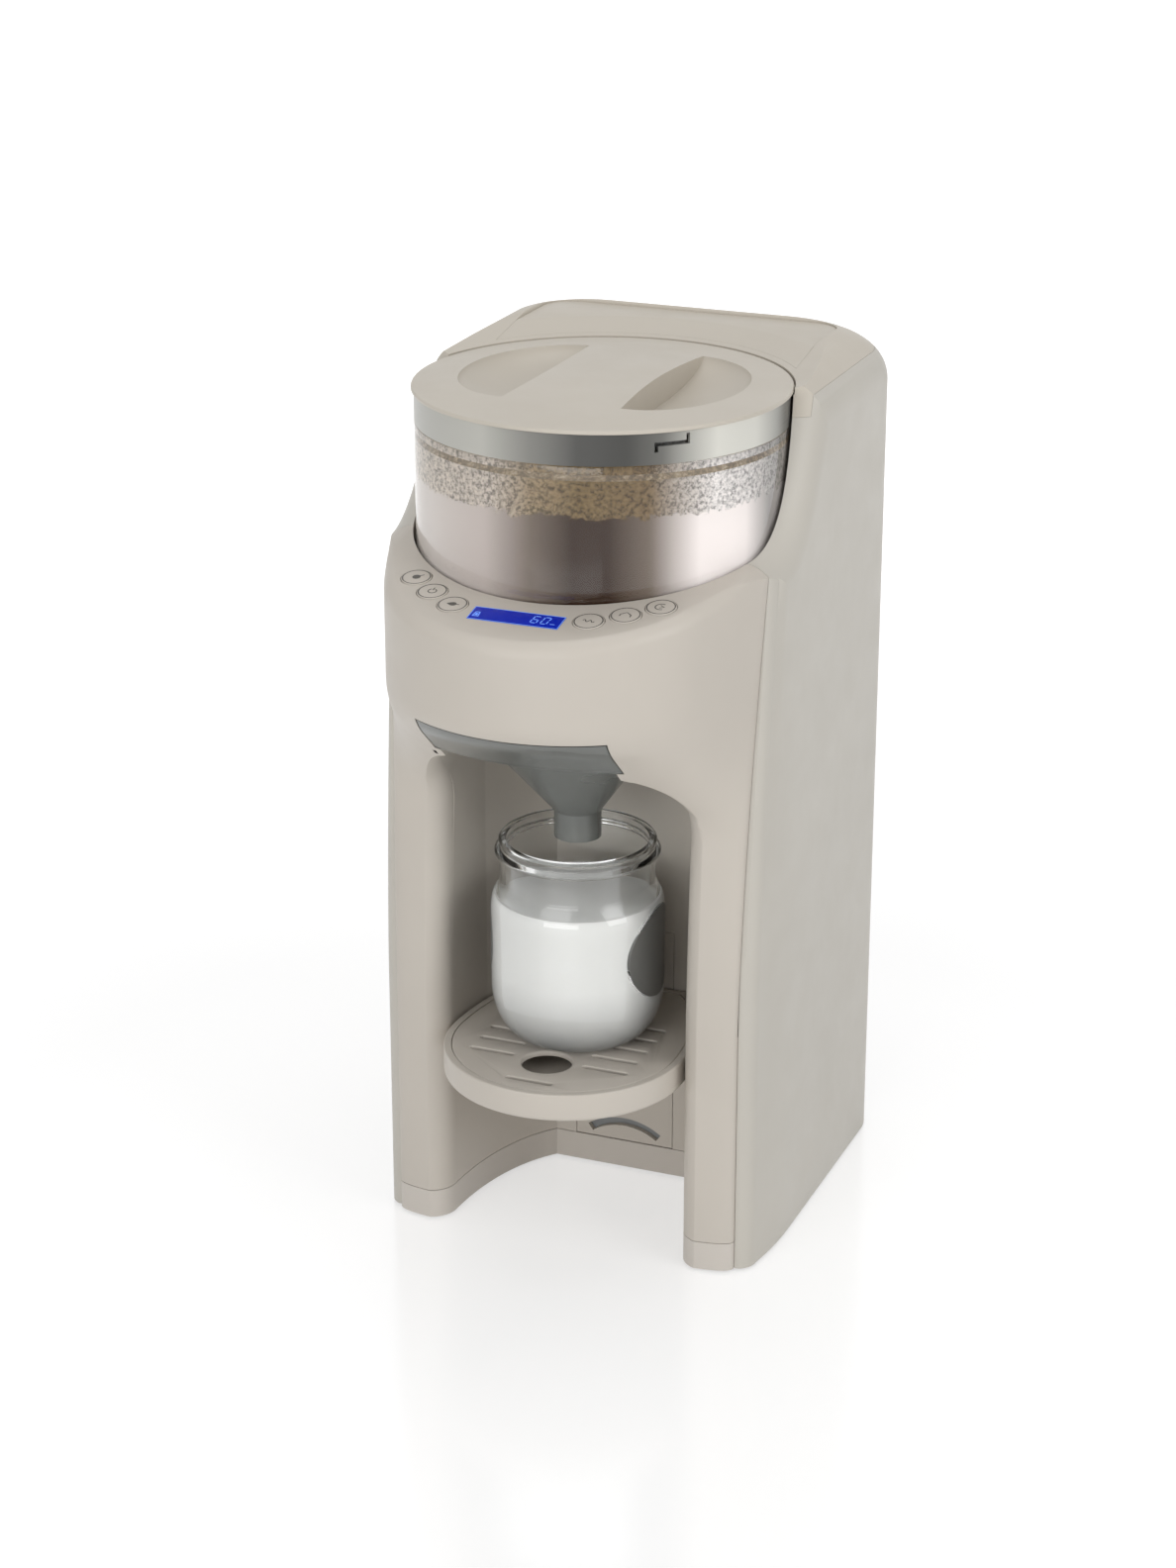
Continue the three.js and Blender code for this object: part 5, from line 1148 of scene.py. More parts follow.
def bottle_outline():
    """Outer radii and heights: the base's edge, the shoulder, and the collar with the rim."""
    neck_low = RIM_TOP - NECK_HEIGHT
    shoulder_low = neck_low - SHOULDER_HEIGHT
    shoulder = cubic(
        (BOTTLE_RADIUS, shoulder_low), (BOTTLE_RADIUS, shoulder_low + SHOULDER_PULLS[0]),
        (BOTTLE_NECK, neck_low - SHOULDER_PULLS[1]), (BOTTLE_NECK, neck_low), 16,
    )
    collar_low = RIM_TOP - COLLAR_HEIGHT
    waist = RIM_RADIUS - RIM_BEAD / 2
    collar = rounded_profile(
        [(BOTTLE_NECK, neck_low), (BOTTLE_NECK, collar_low), (COLLAR_RADIUS, collar_low),
         (COLLAR_RADIUS, collar_low + COLLAR_BEAD), (waist, collar_low + 2 * COLLAR_BEAD),
         (waist, RIM_TOP - 2 * RIM_BEAD), (RIM_RADIUS, RIM_TOP - RIM_BEAD), (RIM_RADIUS - RIM_BEAD, RIM_TOP)],
        COLLAR_ROUNDINGS,
    )
    return base_round(0), shoulder, collar[1:]


def bottle_hollow(shrink):
    """Inner radii and heights from the floor's edge up to the neck."""
    shoulder = bottle_outline()[1]
    wall = BOTTLE_WALL + shrink
    return base_round(wall) + [(r - wall, z) for r, z in shoulder]


def pad_region(side, grow):
    z = BOTTLE_BOTTOM + PAD_HEIGHT
    outline = whole_circle(BOTTLE_Y, z, PAD_RADIUS - grow)
    inner, outer = BOTTLE_RADIUS / 2, BOTTLE_RADIUS + OVERRUN
    x0, x1 = (inner, outer) if side > 0 else (-outer, -inner)
    return lofted("pad region", [[(x, y, z) for y, z in outline] for x in (x0, x1)])


def pad_band(inner, outer):
    profile = [(inner, BOTTLE_BOTTOM), (outer, BOTTLE_BOTTOM), (outer, MILK_TOP), (inner, MILK_TOP)]
    return turned("pad band", profile, 0, BOTTLE_Y, FINE_STEPS, whole=True)


def bottle_jar():
    base, shoulder, collar = bottle_outline()
    hollow = bottle_hollow(0)
    neck = BOTTLE_NECK - BOTTLE_WALL
    floor_z = hollow[0][1]
    profile = (
        [(0, BOTTLE_BOTTOM)] + base + shoulder[1:] + collar
        + [(neck + MOUTH_CHAMFER[0], RIM_TOP), (neck, RIM_TOP - MOUTH_CHAMFER[1])]
        + list(reversed(hollow)) + [(0, floor_z)]
    )
    body = turned("bottle_jar", profile, 0, BOTTLE_Y, FINE_STEPS)
    for side in (-1, 1):
        band = pad_band(BOTTLE_RADIUS - PAD_DENT, BOTTLE_RADIUS + OVERRUN)
        cut(body, common(band, pad_region(side, 0)))
    return body


def bottle_pad(side, name):
    band = pad_band(BOTTLE_RADIUS - PAD_DENT + GAP / 3, BOTTLE_RADIUS + GAP / 3)
    return named(common(band, pad_region(side, GAP / 2)), name)


def bottle_milk():
    hollow = [(r, z) for r, z in bottle_hollow(-MILK_INTO_WALL) if z < MILK_TOP]
    last = hollow[-1][0]
    profile = [(0, hollow[0][1])] + hollow + [(last - GAP, MILK_TOP), (0, MILK_TOP)]
    return turned("bottle_milk", profile, 0, BOTTLE_Y, FINE_STEPS)


# Tank

def tank_box():
    outer = prism("tank_box", tank_plan(0), TANK_BOTTOM, TANK_TOP)
    inner = prism("tank room", tank_plan(-TANK_WALL), TANK_BOTTOM + TANK_WALL, TANK_TOP + OVERRUN)
    low, high = TANK_BOTTOM - SPIGOT_LENGTH, TANK_BOTTOM + TANK_WALL
    cut(outer, inner)
    joined(outer, cylinder("spigot", SPIGOT_RADIUS, low, high, *SPIGOT, 64))
    return cut(outer, cylinder("bore", SPIGOT_BORE, low - OVERRUN, high + OVERRUN, *SPIGOT, 64))


def tank_cover():
    top = TOP - TANK_LID_RECESS
    reach = TANK_CLEARANCE - COVER_CLEARANCE
    outer = rounded_prism("tank_cover", lambda inset: tank_plan(reach - inset), TANK_TOP + GAP, top, 0, GAP)
    inner = prism("cover room", tank_plan(-TANK_WALL), TANK_TOP, top - TANK_LID_PLATE)
    return cut(outer, inner, lid_dish())


# Controls

PRINT_WIDTH = 0.0005
PRINT_LIFT = 0.00001
PRINT_FLATNESS = 0.25
SYMBOL_UNIT = 0.001
SEGMENTS = {"6": "acdefg", "0": "abcdef"}
SEGMENT_LEAN = 0.12
SEGMENT_INSET = 0.12
DIGITS = (("6", 0.0065), ("0", 0.0108))
DIGIT_BASE = -0.0022
DIGIT_HEIGHT = 0.0052
DISPLAY_PRINT_LIFT = 0.00003

# Marks on the display: name, points, width and place
DISPLAY_MARKS = (
    ("unit", [(0.0150, -0.0018), (0.0171, -0.0018)], 0.0004, 0, 0),
    ("jug", [(-0.0009, 0.0016), (0.0007, 0.0016), (0.0011, -0.0016), (-0.0013, -0.0016), (-0.0009, 0.0016)],
     0.0006, -0.0165, -0.0008),
    ("jug", [(0, 0.0004), (0, -0.0012)], 0.0011, -0.0166, -0.0008),
)
DISPLAY_FRAME_WIDTH = 0.0004


def stroke(name, points, width, x, y, z, closed=False):
    """A thin printed line along points, raised a hair above the panel, as a mesh."""
    curve = bpy.data.curves.new(name, "CURVE")
    curve.dimensions = "3D"
    curve.bevel_depth = width / 2
    curve.bevel_resolution = 2
    spline = curve.splines.new("POLY")
    spline.points.add(len(points) - 1)
    for point, (px, py) in zip(spline.points, points):
        point.co = (x + px, y + py, z, 1)
    spline.use_cyclic_u = closed
    shape = linked(name, curve)
    mesh = bpy.data.meshes.new_from_object(shape.evaluated_get(bpy.context.evaluated_depsgraph_get()))
    bpy.data.objects.remove(shape)
    bpy.data.curves.remove(curve)
    bm = bmesh.new()
    bm.from_mesh(mesh)
    bpy.data.meshes.remove(mesh)
    for vert in bm.verts:
        vert.co.z = lerp(z, vert.co.z, PRINT_FLATNESS)
    return on_panel(as_object(name, bm))


def merged(name, pieces):
    bm = bmesh.new()
    for piece in pieces:
        bm.from_mesh(piece.data)
        bpy.data.objects.remove(piece)
    return written(name, bm)


def circle(radius, start=0.0, end=360.0):
    return arc(0.0, 0.0, radius, start, end, 28)


def symbol_shapes(side, number):
    """Plain symbols for the six buttons: open lines, and the outlines of solid marks."""
    s = SYMBOL_UNIT
    upper = quadratic((-2.6 * s, 0), (0.9 * s, 2.8 * s), (1.8 * s, 0), 10)
    drop = upper + [(x, -y) for x, y in reversed(upper)][1:-1]
    wave = [(2.4 * s * (i / 8 - 1), 0.8 * s * math.sin(math.pi * i / 4)) for i in range(17)]
    hill = [(-2.2 * s, -1.4 * s), (-2.2 * s, 0.2 * s), (0, 2.0 * s), (2.2 * s, 0.2 * s), (2.2 * s, -1.4 * s)]
    play = [(-0.4 * s, -1.1 * s), (1.4 * s, 0), (-0.4 * s, 1.1 * s)]
    symbols = {
        ("left", 1): ([[(1.6 * s, 0), (2.9 * s, 0)]], [drop]),
        ("left", 2): ([circle(1.7 * s, 120, 420), [(0, 0.6 * s), (0, 2.7 * s)]], []),
        ("left", 3): ([[(0.8 * s, 0.9 * s), (2.5 * s, 2.4 * s)]], [circle(1.7 * s, 0, 348)]),
        ("right", 1): ([wave], []),
        ("right", 2): ([hill], []),
        ("right", 3): ([circle(2.3 * s, 60, 300), play], []),
    }
    return symbols[side, number]


def button_piece(side, number, x, y):
    low = -WALL - BUTTON_DROP
    corners = [(0, low), (BUTTON_RADIUS, low), (BUTTON_RADIUS, BUTTON_RISE), (0, BUTTON_RISE)]
    profile = rounded_profile(corners, [0, 0, BUTTON_ROUNDING, 0], 5)
    return on_panel(turned(f"key_{side}_{number}", profile, x, y, BUTTON_STEPS))


def button_print(side, number, x, y):
    z = BUTTON_RISE + PRINT_LIFT
    lines, marks = symbol_shapes(side, number)
    lines = lines + [circle(BUTTON_RADIUS - 2 * GAP)]
    pieces = [stroke("print", line, PRINT_WIDTH, x, y, z) for line in lines]
    for mark in marks:
        outline = [(x + px, y + py) for px, py in mark]
        pieces.append(on_panel(prism("mark", outline, z, z + GAP / 10)))
    return merged(f"key_print_{side}_{number}", pieces)


def digit(character, x, y, height, z):
    """One display digit, built of its lit segments."""
    w, h = height * 0.5, height / 2
    corners = {
        "a": ((0, 2 * h), (w, 2 * h)), "b": ((w, 2 * h), (w, h)), "c": ((w, h), (w, 0)),
        "d": ((0, 0), (w, 0)), "e": ((0, h), (0, 0)), "f": ((0, 2 * h), (0, h)), "g": ((0, h), (w, h)),
    }
    pieces = []
    for name in SEGMENTS[character]:
        (x0, y0), (x1, y1) = corners[name]
        start = (lerp(x0, x1, SEGMENT_INSET), lerp(y0, y1, SEGMENT_INSET))
        end = (lerp(x1, x0, SEGMENT_INSET), lerp(y1, y0, SEGMENT_INSET))
        points = [(px + SEGMENT_LEAN * py, py) for px, py in (start, end)]
        pieces.append(stroke("segment", points, PRINT_WIDTH, x, y, z))
    return pieces


def display_print():
    z = DISPLAY_PRINT_LIFT
    pieces = []
    for character, x in DIGITS:
        pieces += digit(character, x, DIGIT_BASE, DIGIT_HEIGHT, z)
    for name, points, width, x, y in DISPLAY_MARKS:
        pieces.append(stroke(name, points, width, x, y, z))
    x, y = DISPLAY_WIDTH / 2 - GAP, DISPLAY_HEIGHT / 2 - GAP
    corners = [(-x, -y), (x, -y), (x, y), (-x, y)]
    pieces.append(stroke("edge", corners, DISPLAY_FRAME_WIDTH, 0, 0, z, True))
    return merged("display_print", pieces)


def display_face():
    half_x, half_y = DISPLAY_WIDTH / 2 - GAP / 2, DISPLAY_HEIGHT / 2 - GAP / 2

    def plan(inset):
        x, y, r = half_x - inset, half_y - inset, DISPLAY_CORNER
        return (
            arc(x - r, y - r, r, 0, 90, 4) + arc(-x + r, y - r, r, 90, 180, 4)
            + arc(-x + r, -y + r, r, 180, 270, 4) + arc(x - r, -y + r, r, 270, 360, 4)
        )

    return on_panel(rounded_prism("display_face", plan, -WALL, 0, 0, DISPLAY_ROUNDING, 3))


# Finishes

NOISE_SPREAD = (0.3, 0.7)
GLOSS_SPREAD = 0.05
SCREEN_GLOW = 0.15
SEGMENT_GLOW = 0.35
PLASTIC_IOR = 1.49
WHITE = (1, 1, 1, 1)

# Painted studio reflection on the ring round its turn: place and share of its colour
RING_PAINTED_REFLECTION = (
    (0.0, 0.8), (0.37, 0.9), (0.455, 1.05), (0.50, 0.45), (0.54, 0.11), (0.58, 0.11), (0.61, 0.3),
    (0.66, 1.5), (0.705, 1.45), (0.76, 0.25), (0.85, 0.7), (1.0, 0.8),
)

# Painted reflection and shade on the powder against the wall round its turn: place and colour
PRESSED_PAINTED_REFLECTION = (
    (0.38, (0.78, 0.75, 0.73)), (0.455, (0.73, 0.69, 0.67)), (0.50, (0.44, 0.39, 0.35)),
    (0.535, (0.19, 0.11, 0.05)), (0.565, (0.19, 0.11, 0.05)), (0.60, (0.44, 0.39, 0.35)),
    (0.645, (0.91, 0.88, 0.87)), (0.695, (0.91, 0.88, 0.87)), (0.73, (0.57, 0.55, 0.54)),
    (0.8, (0.65, 0.62, 0.60)),
)
CLINGING_PAINTED_REFLECTION = (
    (0.46, (0.73, 0.69, 0.65)), (0.50, (0.57, 0.50, 0.40)), (0.54, (0.45, 0.37, 0.24)),
    (0.60, (0.45, 0.37, 0.26)), (0.66, (0.86, 0.84, 0.83)), (0.70, (0.80, 0.78, 0.77)),
    (0.75, (0.50, 0.48, 0.46)), (0.85, (0.66, 0.63, 0.60)),
)
GRIT_GREYS = ((0.38, 0.4), (0.5, 0.9), (0.62, 1.2))
GRAIN_TONE = (0.62, 0.53, 0.41)
RAGGED_REACH = 0.014
RAGGED_LINES = (0.0065, 0.0075)
# Painted shade on the milk, darker towards the bottom
MILK_PAINTED_SHADE = ((0.0, 0.35), (0.3, 0.7), (0.75, 1.0))


def fill(tree, node, inputs):
    """Sets a node's inputs: an output is linked, and anything else is a fixed value."""
    for key, value in inputs.items():
        if isinstance(value, bpy.types.NodeSocket):
            tree.links.new(value, node.inputs[key])
        else:
            node.inputs[key].default_value = value
    return node


def add_node(tree, kind, inputs, **settings):
    node = tree.nodes.new("ShaderNode" + kind)
    for key, value in settings.items():
        setattr(node, key, value)
    return fill(tree, node, inputs)


def finish_nodes(name):
    finish = bpy.data.materials.new(name)
    finish.use_nodes = True
    tree = finish.node_tree
    return finish, tree, tree.nodes["Principled BSDF"]


def object_place(tree):
    return add_node(tree, "TexCoord", {}).outputs["Object"]


def parts_of(tree, vector):
    return add_node(tree, "SeparateXYZ", {"Vector": vector}).outputs


def worked_out(tree, operation, *values):
    return add_node(tree, "Math", dict(enumerate(values)), operation=operation).outputs["Value"]


def noise_at(tree, scale, detail=2.0, roughness=0.5, vector=None):
    place = vector or object_place(tree)
    inputs = {"Vector": place, "Scale": scale, "Detail": detail, "Roughness": roughness}
    return add_node(tree, "TexNoise", inputs).outputs["Fac"]


def ramp(tree, fac, *stops):
    """A colour ramp; each stop is a position and a colour or a grey."""
    node = add_node(tree, "ValToRGB", {"Fac": fac})
    elements = node.color_ramp.elements
    while len(elements) < len(stops):
        elements.new(0.5)
    for element, (position, colour) in zip(elements, stops):
        element.position = position
        element.color = (colour,) * 3 + (1,) if isinstance(colour, float) else (*colour[:3], 1)
    return node.outputs["Color"]


def toned(tree, fac, base, *stops):
    """A colour ramp; each stop is a position and a share of one colour."""
    return ramp(tree, fac, *[(position, tinted(base, share)) for position, share in stops])


def mixed(tree, factor, first, second, blend="MIX"):
    """One colour over another."""
    inputs = {"Factor": factor, 6: first, 7: second}
    return add_node(tree, "Mix", inputs, data_type="RGBA", blend_type=blend).outputs[2]


def blended(tree, factor, first, second):
    """One shader over another."""
    return add_node(tree, "MixShader", {0: factor, 1: first.outputs[0], 2: second.outputs[0]})


def shown(tree, node, output="Material Output"):
    tree.links.new(node.outputs[0], tree.nodes[output].inputs["Surface"])


def mapped(tree, value, start, end, low=0.0, high=1.0):
    inputs = {"Value": value, "From Min": start, "From Max": end, "To Min": low, "To Max": high}
    return add_node(tree, "MapRange", inputs).outputs["Result"]


def scaled_range(tree, fac, low, high):
    """The usual spread of a noise, brought to run from low to high."""
    return mapped(tree, fac, *NOISE_SPREAD, low, high)


def bump(tree, height, distance, strength=1.0):
    inputs = {"Height": height, "Distance": distance, "Strength": strength}
    return add_node(tree, "Bump", inputs).outputs["Normal"]


def linear(colour):
    """An sRGB colour as the shader's linear one."""
    return tuple(c / 12.92 if c <= 0.04045 else ((c + 0.055) / 1.055) ** 2.4 for c in colour[:3])


def tinted(colour, share):
    return tuple(min(1.0, c * share) for c in colour)


def moulded_plastic(name, colour, roughness=0.42, grain=0.00001, mottle=0.02):
    """Satin moulded plastic: fine spark grain, slow tone drift and uneven gloss."""
    finish, tree, shader = finish_nodes(name)
    drift = noise_at(tree, 14, 3, 0.55)
    gloss = noise_at(tree, 60, 4, 0.6)
    fill(tree, shader, {
        "Base Color": toned(tree, drift, linear(colour), (0.3, 1 - mottle), (0.7, 1 + mottle)),
        "Roughness": scaled_range(tree, gloss, roughness - GLOSS_SPREAD, roughness + GLOSS_SPREAD),
        "Normal": bump(tree, noise_at(tree, 2600), grain),
        "Specular IOR Level": 0.4,
    })
    return finish


def clear_plastic(name, colour):
    """Clear moulded plastic that lets the lamps through to what is inside."""
    finish, tree, shader = finish_nodes(name)
    base = linear(colour)
    ripple = noise_at(tree, 45)
    fill(tree, shader, {
        "Base Color": (*base, 1),
        "Transmission Weight": 1,
        "IOR": PLASTIC_IOR,
        "Roughness": scaled_range(tree, ripple, 0.03, 0.06),
        "Normal": bump(tree, ripple, 0.00003, 0.4),
    })
    open_light = add_node(tree, "BsdfTransparent", {"Color": (*tinted(base, 0.97), 1)})
    is_shadow = add_node(tree, "LightPath", {}).outputs["Is Shadow Ray"]
    shown(tree, blended(tree, is_shadow, shader, open_light))
    return finish


def smoke_plastic(name, colour, roughness=0.22):
    """Smoke-tinted translucent plastic: mostly body colour with some light passing."""
    finish, tree, shader = finish_nodes(name)
    cloud = noise_at(tree, 30, 3, 0.5)
    fill(tree, shader, {
        "Base Color": toned(tree, cloud, linear(colour), (0.3, 0.92), (0.7, 1.1)),
        "Transmission Weight": 0.55,
        "IOR": PLASTIC_IOR,
        "Roughness": scaled_range(tree, cloud, roughness, roughness + 0.06),
        "Normal": bump(tree, noise_at(tree, 1500), 0.000006),
    })
    return finish


def jar_angle(tree, place):
    """Turn about the container's axis from the back, 0 to 1, with 0.5 at the front."""
    parts = parts_of(tree, place)
    along = worked_out(tree, "SUBTRACT", AXIS_Y, parts["Y"])
    turn = worked_out(tree, "ARCTAN2", parts["X"], along)
    return worked_out(tree, "MULTIPLY_ADD", turn, 1 / math.tau, 0.5)


def silver_ring_finish(colour):
    """Satin silver ring, with a soft studio reflection painted round its circumference."""
    finish, tree, shader = finish_nodes("satin_silver")
    place = object_place(tree)
    brushed = add_node(tree, "Mapping", {"Vector": place, "Scale": (1, 1, 60)}).outputs["Vector"]
    lines = noise_at(tree, 60, 3, 0.6, brushed)
    fill(tree, shader, {
        # The base colour carries the painted reflection round the ring
        "Base Color": toned(tree, jar_angle(tree, place), linear(colour), *RING_PAINTED_REFLECTION),
        "Metallic": 0.1,
        "Roughness": scaled_range(tree, lines, 0.28, 0.4),
        "Normal": bump(tree, lines, 0.00002, 0.5),
    })
    return finish


def painted_wall_reflection(tree, angle, pale, tones):
    """Painted reflection and shade on the powder round the container, pale at the back."""
    back = tinted(pale, 0.9)
    return ramp(tree, angle, (0.0, back), *[(turn, linear(tone)) for turn, tone in tones], (1.0, back))


def powder_finish(tones):
    """Loose powder on top, grains clinging to the wall, and powder pressed smooth below them, with painted
    reflection and shade round the wall and painted shade in the top's hollows.
    """
    finish, tree, shader = finish_nodes("formula_powder")
    place = object_place(tree)
    pale = linear(tones.powder)
    dark = linear(tones.powder_hollow_painted_shade)
    angle = jar_angle(tree, place)
    # Painted reflection and shade round the wall: a dark band just right of the front, then a bright band
    pressed = painted_wall_reflection(tree, angle, pale, PRESSED_PAINTED_REFLECTION)
    clinging = painted_wall_reflection(tree, angle, pale, CLINGING_PAINTED_REFLECTION)
    grit = ramp(tree, noise_at(tree, 620, 3, 0.7, place), *GRIT_GREYS)
    speckled = mixed(tree, 1.0, clinging, grit, "MULTIPLY")
    height = parts_of(tree, place)["Z"]
    ragged = worked_out(tree, "MULTIPLY_ADD", noise_at(tree, 150, 5, 0.7, place), RAGGED_REACH, height)
    is_loose = mapped(tree, ragged, POWDER_LINE + RAGGED_LINES[0], POWDER_LINE + RAGGED_LINES[1])
    wall_tone = mixed(tree, is_loose, pressed, speckled)
    clods = noise_at(tree, 420, 6, 0.75, place)
    # Golden grain tone, partly real, with painted shade darkening the hollows of the noise that bumps the top
    grain = ramp(tree, clods, (0.36, tinted(dark, 0.7)), (0.47, dark), (0.55, linear(GRAIN_TONE)),
                 (0.66, pale))
    patches = noise_at(tree, 26, 3, 0.6, place)
    heap = mixed(tree, scaled_range(tree, patches, 0.05, 0.5), grain, (*pale, 1))
    facing = add_node(tree, "NewGeometry", {}).outputs["True Normal"]
    is_top = mapped(tree, parts_of(tree, facing)["Z"], 0.1, 0.3)
    fill(tree, shader, {
        "Base Color": mixed(tree, is_top, wall_tone, heap),
        "Roughness": 0.9,
        "Specular IOR Level": 0.15,
        "Normal": bump(tree, worked_out(tree, "MULTIPLY", clods, is_top), 0.0012),
    })
    return finish


def milk_finish(colour):
    """White milk: soft, slightly translucent, faintly uneven, with painted shade towards the bottom."""
    finish, tree, shader = finish_nodes("milk_white")
    place = object_place(tree)
    white = toned(tree, noise_at(tree, 25, vector=place), linear(colour), (0.3, 0.97), (0.7, 1.0))
    rise = mapped(tree, parts_of(tree, place)["Z"], BOTTLE_BOTTOM, BOTTLE_BOTTOM + PAD_HEIGHT)
    fill(tree, shader, {
        # Painted shade, darker towards the bottom of the milk
        "Base Color": mixed(tree, 1.0, white, ramp(tree, rise, *MILK_PAINTED_SHADE), "MULTIPLY"),
        "Roughness": 0.3,
        "Subsurface Weight": 0.15,
        "Subsurface Radius": (0.002, 0.002, 0.0018),
        "Subsurface Scale": 1.0,
    })
    return finish


def screen_finish(name, colour, strength):
    """Backlit glass with a faint cell pattern."""
    finish, tree, shader = finish_nodes(name)
    tone = toned(tree, noise_at(tree, 700, 2, 0.4), linear(colour), (0.3, 0.95), (0.7, 1.05))
    fill(tree, shader, {
        "Base Color": tone, "Roughness": 0.2, "Specular IOR Level": 0.12,
        "Emission Color": tone, "Emission Strength": strength,
    })
    return finish


def printed_ink(name, colour):
    finish, tree, shader = finish_nodes(name)
    tone = toned(tree, noise_at(tree, 1800), linear(colour), (0.3, 0.8), (0.7, 1.2))
    fill(tree, shader, {"Base Color": tone, "Roughness": 0.5})
    return finish


def machined_steel(name, colour):
    """Machined steel with fine marks."""
    finish, tree, shader = finish_nodes(name)
    marks = noise_at(tree, 900, 3, 0.6)
    fill(tree, shader, {
        "Base Color": toned(tree, marks, linear(colour), (0.3, 0.9), (0.7, 1.0)),
        "Metallic": 1,
        "Roughness": scaled_range(tree, marks, 0.22, 0.36),
        "Normal": bump(tree, marks, 0.00001),
    })
    return finish


def board_finish(name, colour):
    """Green circuit board with a web of tracks showing through the lacquer."""
    finish, tree, shader = finish_nodes(name)
    tracks = add_node(
        tree, "TexVoronoi", {"Vector": object_place(tree), "Scale": 220}, feature="DISTANCE_TO_EDGE",
    ).outputs["Distance"]
    fill(tree, shader, {
        "Base Color": ramp(tree, tracks, (0.04, (0.18, 0.30, 0.10)), (0.1, linear(colour))),
        "Roughness": 0.35,
        "Normal": bump(tree, tracks, 0.0001),
    })
    return finish


def rubber_finish(name, colour):
    finish, tree, shader = finish_nodes(name)
    dust = noise_at(tree, 260, 4, 0.7)
    tone = toned(tree, dust, linear(colour), (0.35, 0.85), (0.75, 1.3))
    fill(tree, shader, {"Base Color": tone, "Roughness": 0.85, "Normal": bump(tree, dust, 0.00005)})
    return finish


def colour_property(name, description, default):
    return FloatVectorProperty(name=name, description=description, subtype="COLOR_GAMMA", size=3,
                               min=0, max=1, default=default)


class FormulaMakerSizes(bpy.types.PropertyGroup):
    """Sizes that a user may change."""

    powder_lump: FloatProperty(
        name="Powder lumps", description="How high the loose powder's lumps stand", default=0.0016,
        unit="LENGTH")
    camera_azimuth: FloatProperty(
        name="Camera azimuth", description="Turn of the view to the machine's right side",
        default=math.radians(21.93), subtype="ANGLE")
    camera_pitch: FloatProperty(
        name="Camera pitch", description="How far the camera looks down", default=math.radians(20.92),
        subtype="ANGLE")
    camera_lens: FloatProperty(
        name="Camera lens", description="Focal length of the camera", default=78.1, unit="CAMERA")
    floor_size: FloatProperty(
        name="Floor size", description="Side of the pale floor", default=14.0, unit="LENGTH")
    lamp_power: FloatProperty(
        name="Lamp power", description="Power that each lamp has a share of", default=4.0, unit="POWER")


class FormulaMakerColours(bpy.types.PropertyGroup):
    """Colours of the finishes."""

    cream: colour_property("Cream", "Front housing and buttons", (0.765, 0.738, 0.700))
    side_cream: colour_property("Side cream", "Side shell", (0.755, 0.738, 0.703))
    # A slightly darker copy of the cream: painted shade on the machine's top
    lid_cream_painted_shade: colour_property("Lid cream", "Container lid and tower top", (0.760, 0.732, 0.685))
    # A slightly lighter copy of the cream: painted light on the low band
    base_cream_painted_light: colour_property("Base cream", "Band under the machine", (0.785, 0.760, 0.728))
    silver: colour_property("Silver", "Ring under the lid", (0.698, 0.694, 0.667))
    clear: colour_property("Clear", "Clear containers", (0.97, 0.975, 0.975))
    smoke: colour_property("Smoke", "Funnel", (0.57, 0.58, 0.565))
    pad: colour_property("Pad", "Bottle's hand pads", (0.50, 0.50, 0.49))
    powder: colour_property("Powder", "Pale powder", (0.80, 0.75, 0.67))
    # Painted shade for the hollows of the powder's top
    powder_hollow_painted_shade: colour_property("Powder shade", "Powder in the hollows", (0.40, 0.33, 0.24))
    milk: colour_property("Milk", "Milk in the bottle", (0.835, 0.833, 0.823))
    screen: colour_property("Screen", "Backlit display", (0.03, 0.14, 0.66))
    segments: colour_property("Segments", "Lit digits on the display", (0.45, 0.62, 0.97))
    ink: colour_property("Ink", "Printed symbols", (0.30, 0.29, 0.27))
    inner: colour_property("Inner", "Plain inner plastic", (0.553, 0.561, 0.565))
    rubber: colour_property("Rubber", "Feet and seals", (0.227, 0.227, 0.227))
    steel: colour_property("Steel", "Machined metal", (0.71, 0.718, 0.729))
    circuit: colour_property("Circuit", "Circuit boards", (0.122, 0.353, 0.227))


def sizes():
    return bpy.context.scene.formula_maker_sizes


def colours():
    return bpy.context.scene.formula_maker_colours


class FORMULA_OT_housing(bpy.types.Operator):
    """Build the front shell, the side wrap, the tower rim, the base band and the bay's back plate"""

    bl_idname = "formula.housing"
    bl_label = "Build housing"

    def execute(self, context):
        cream = moulded_plastic("cream_plastic", colours().cream)
        side = moulded_plastic("side_plastic", colours().side_cream)
        # The top's finish is the cream made slightly darker, as painted shade
        lid = moulded_plastic("lid_plastic", colours().lid_cream_painted_shade)
        # The base band's finish is the cream made slightly lighter, as painted light
        base = moulded_plastic("base_plastic", colours().base_cream_painted_light)
        placed(front_shell(), cream, "housing", "shell", "front_housing", "bay_liner")
        placed(side_wrap(), side, "housing", "side", "side_shell")
        placed(tower_rim(), lid, "housing", "shell", "tower_cap")
        placed(base_band(), base, "housing", "base", "base_frame")
        placed(bay_plate(), cream, "housing", "shell", "bay_back_plate")
        return {"FINISHED"}


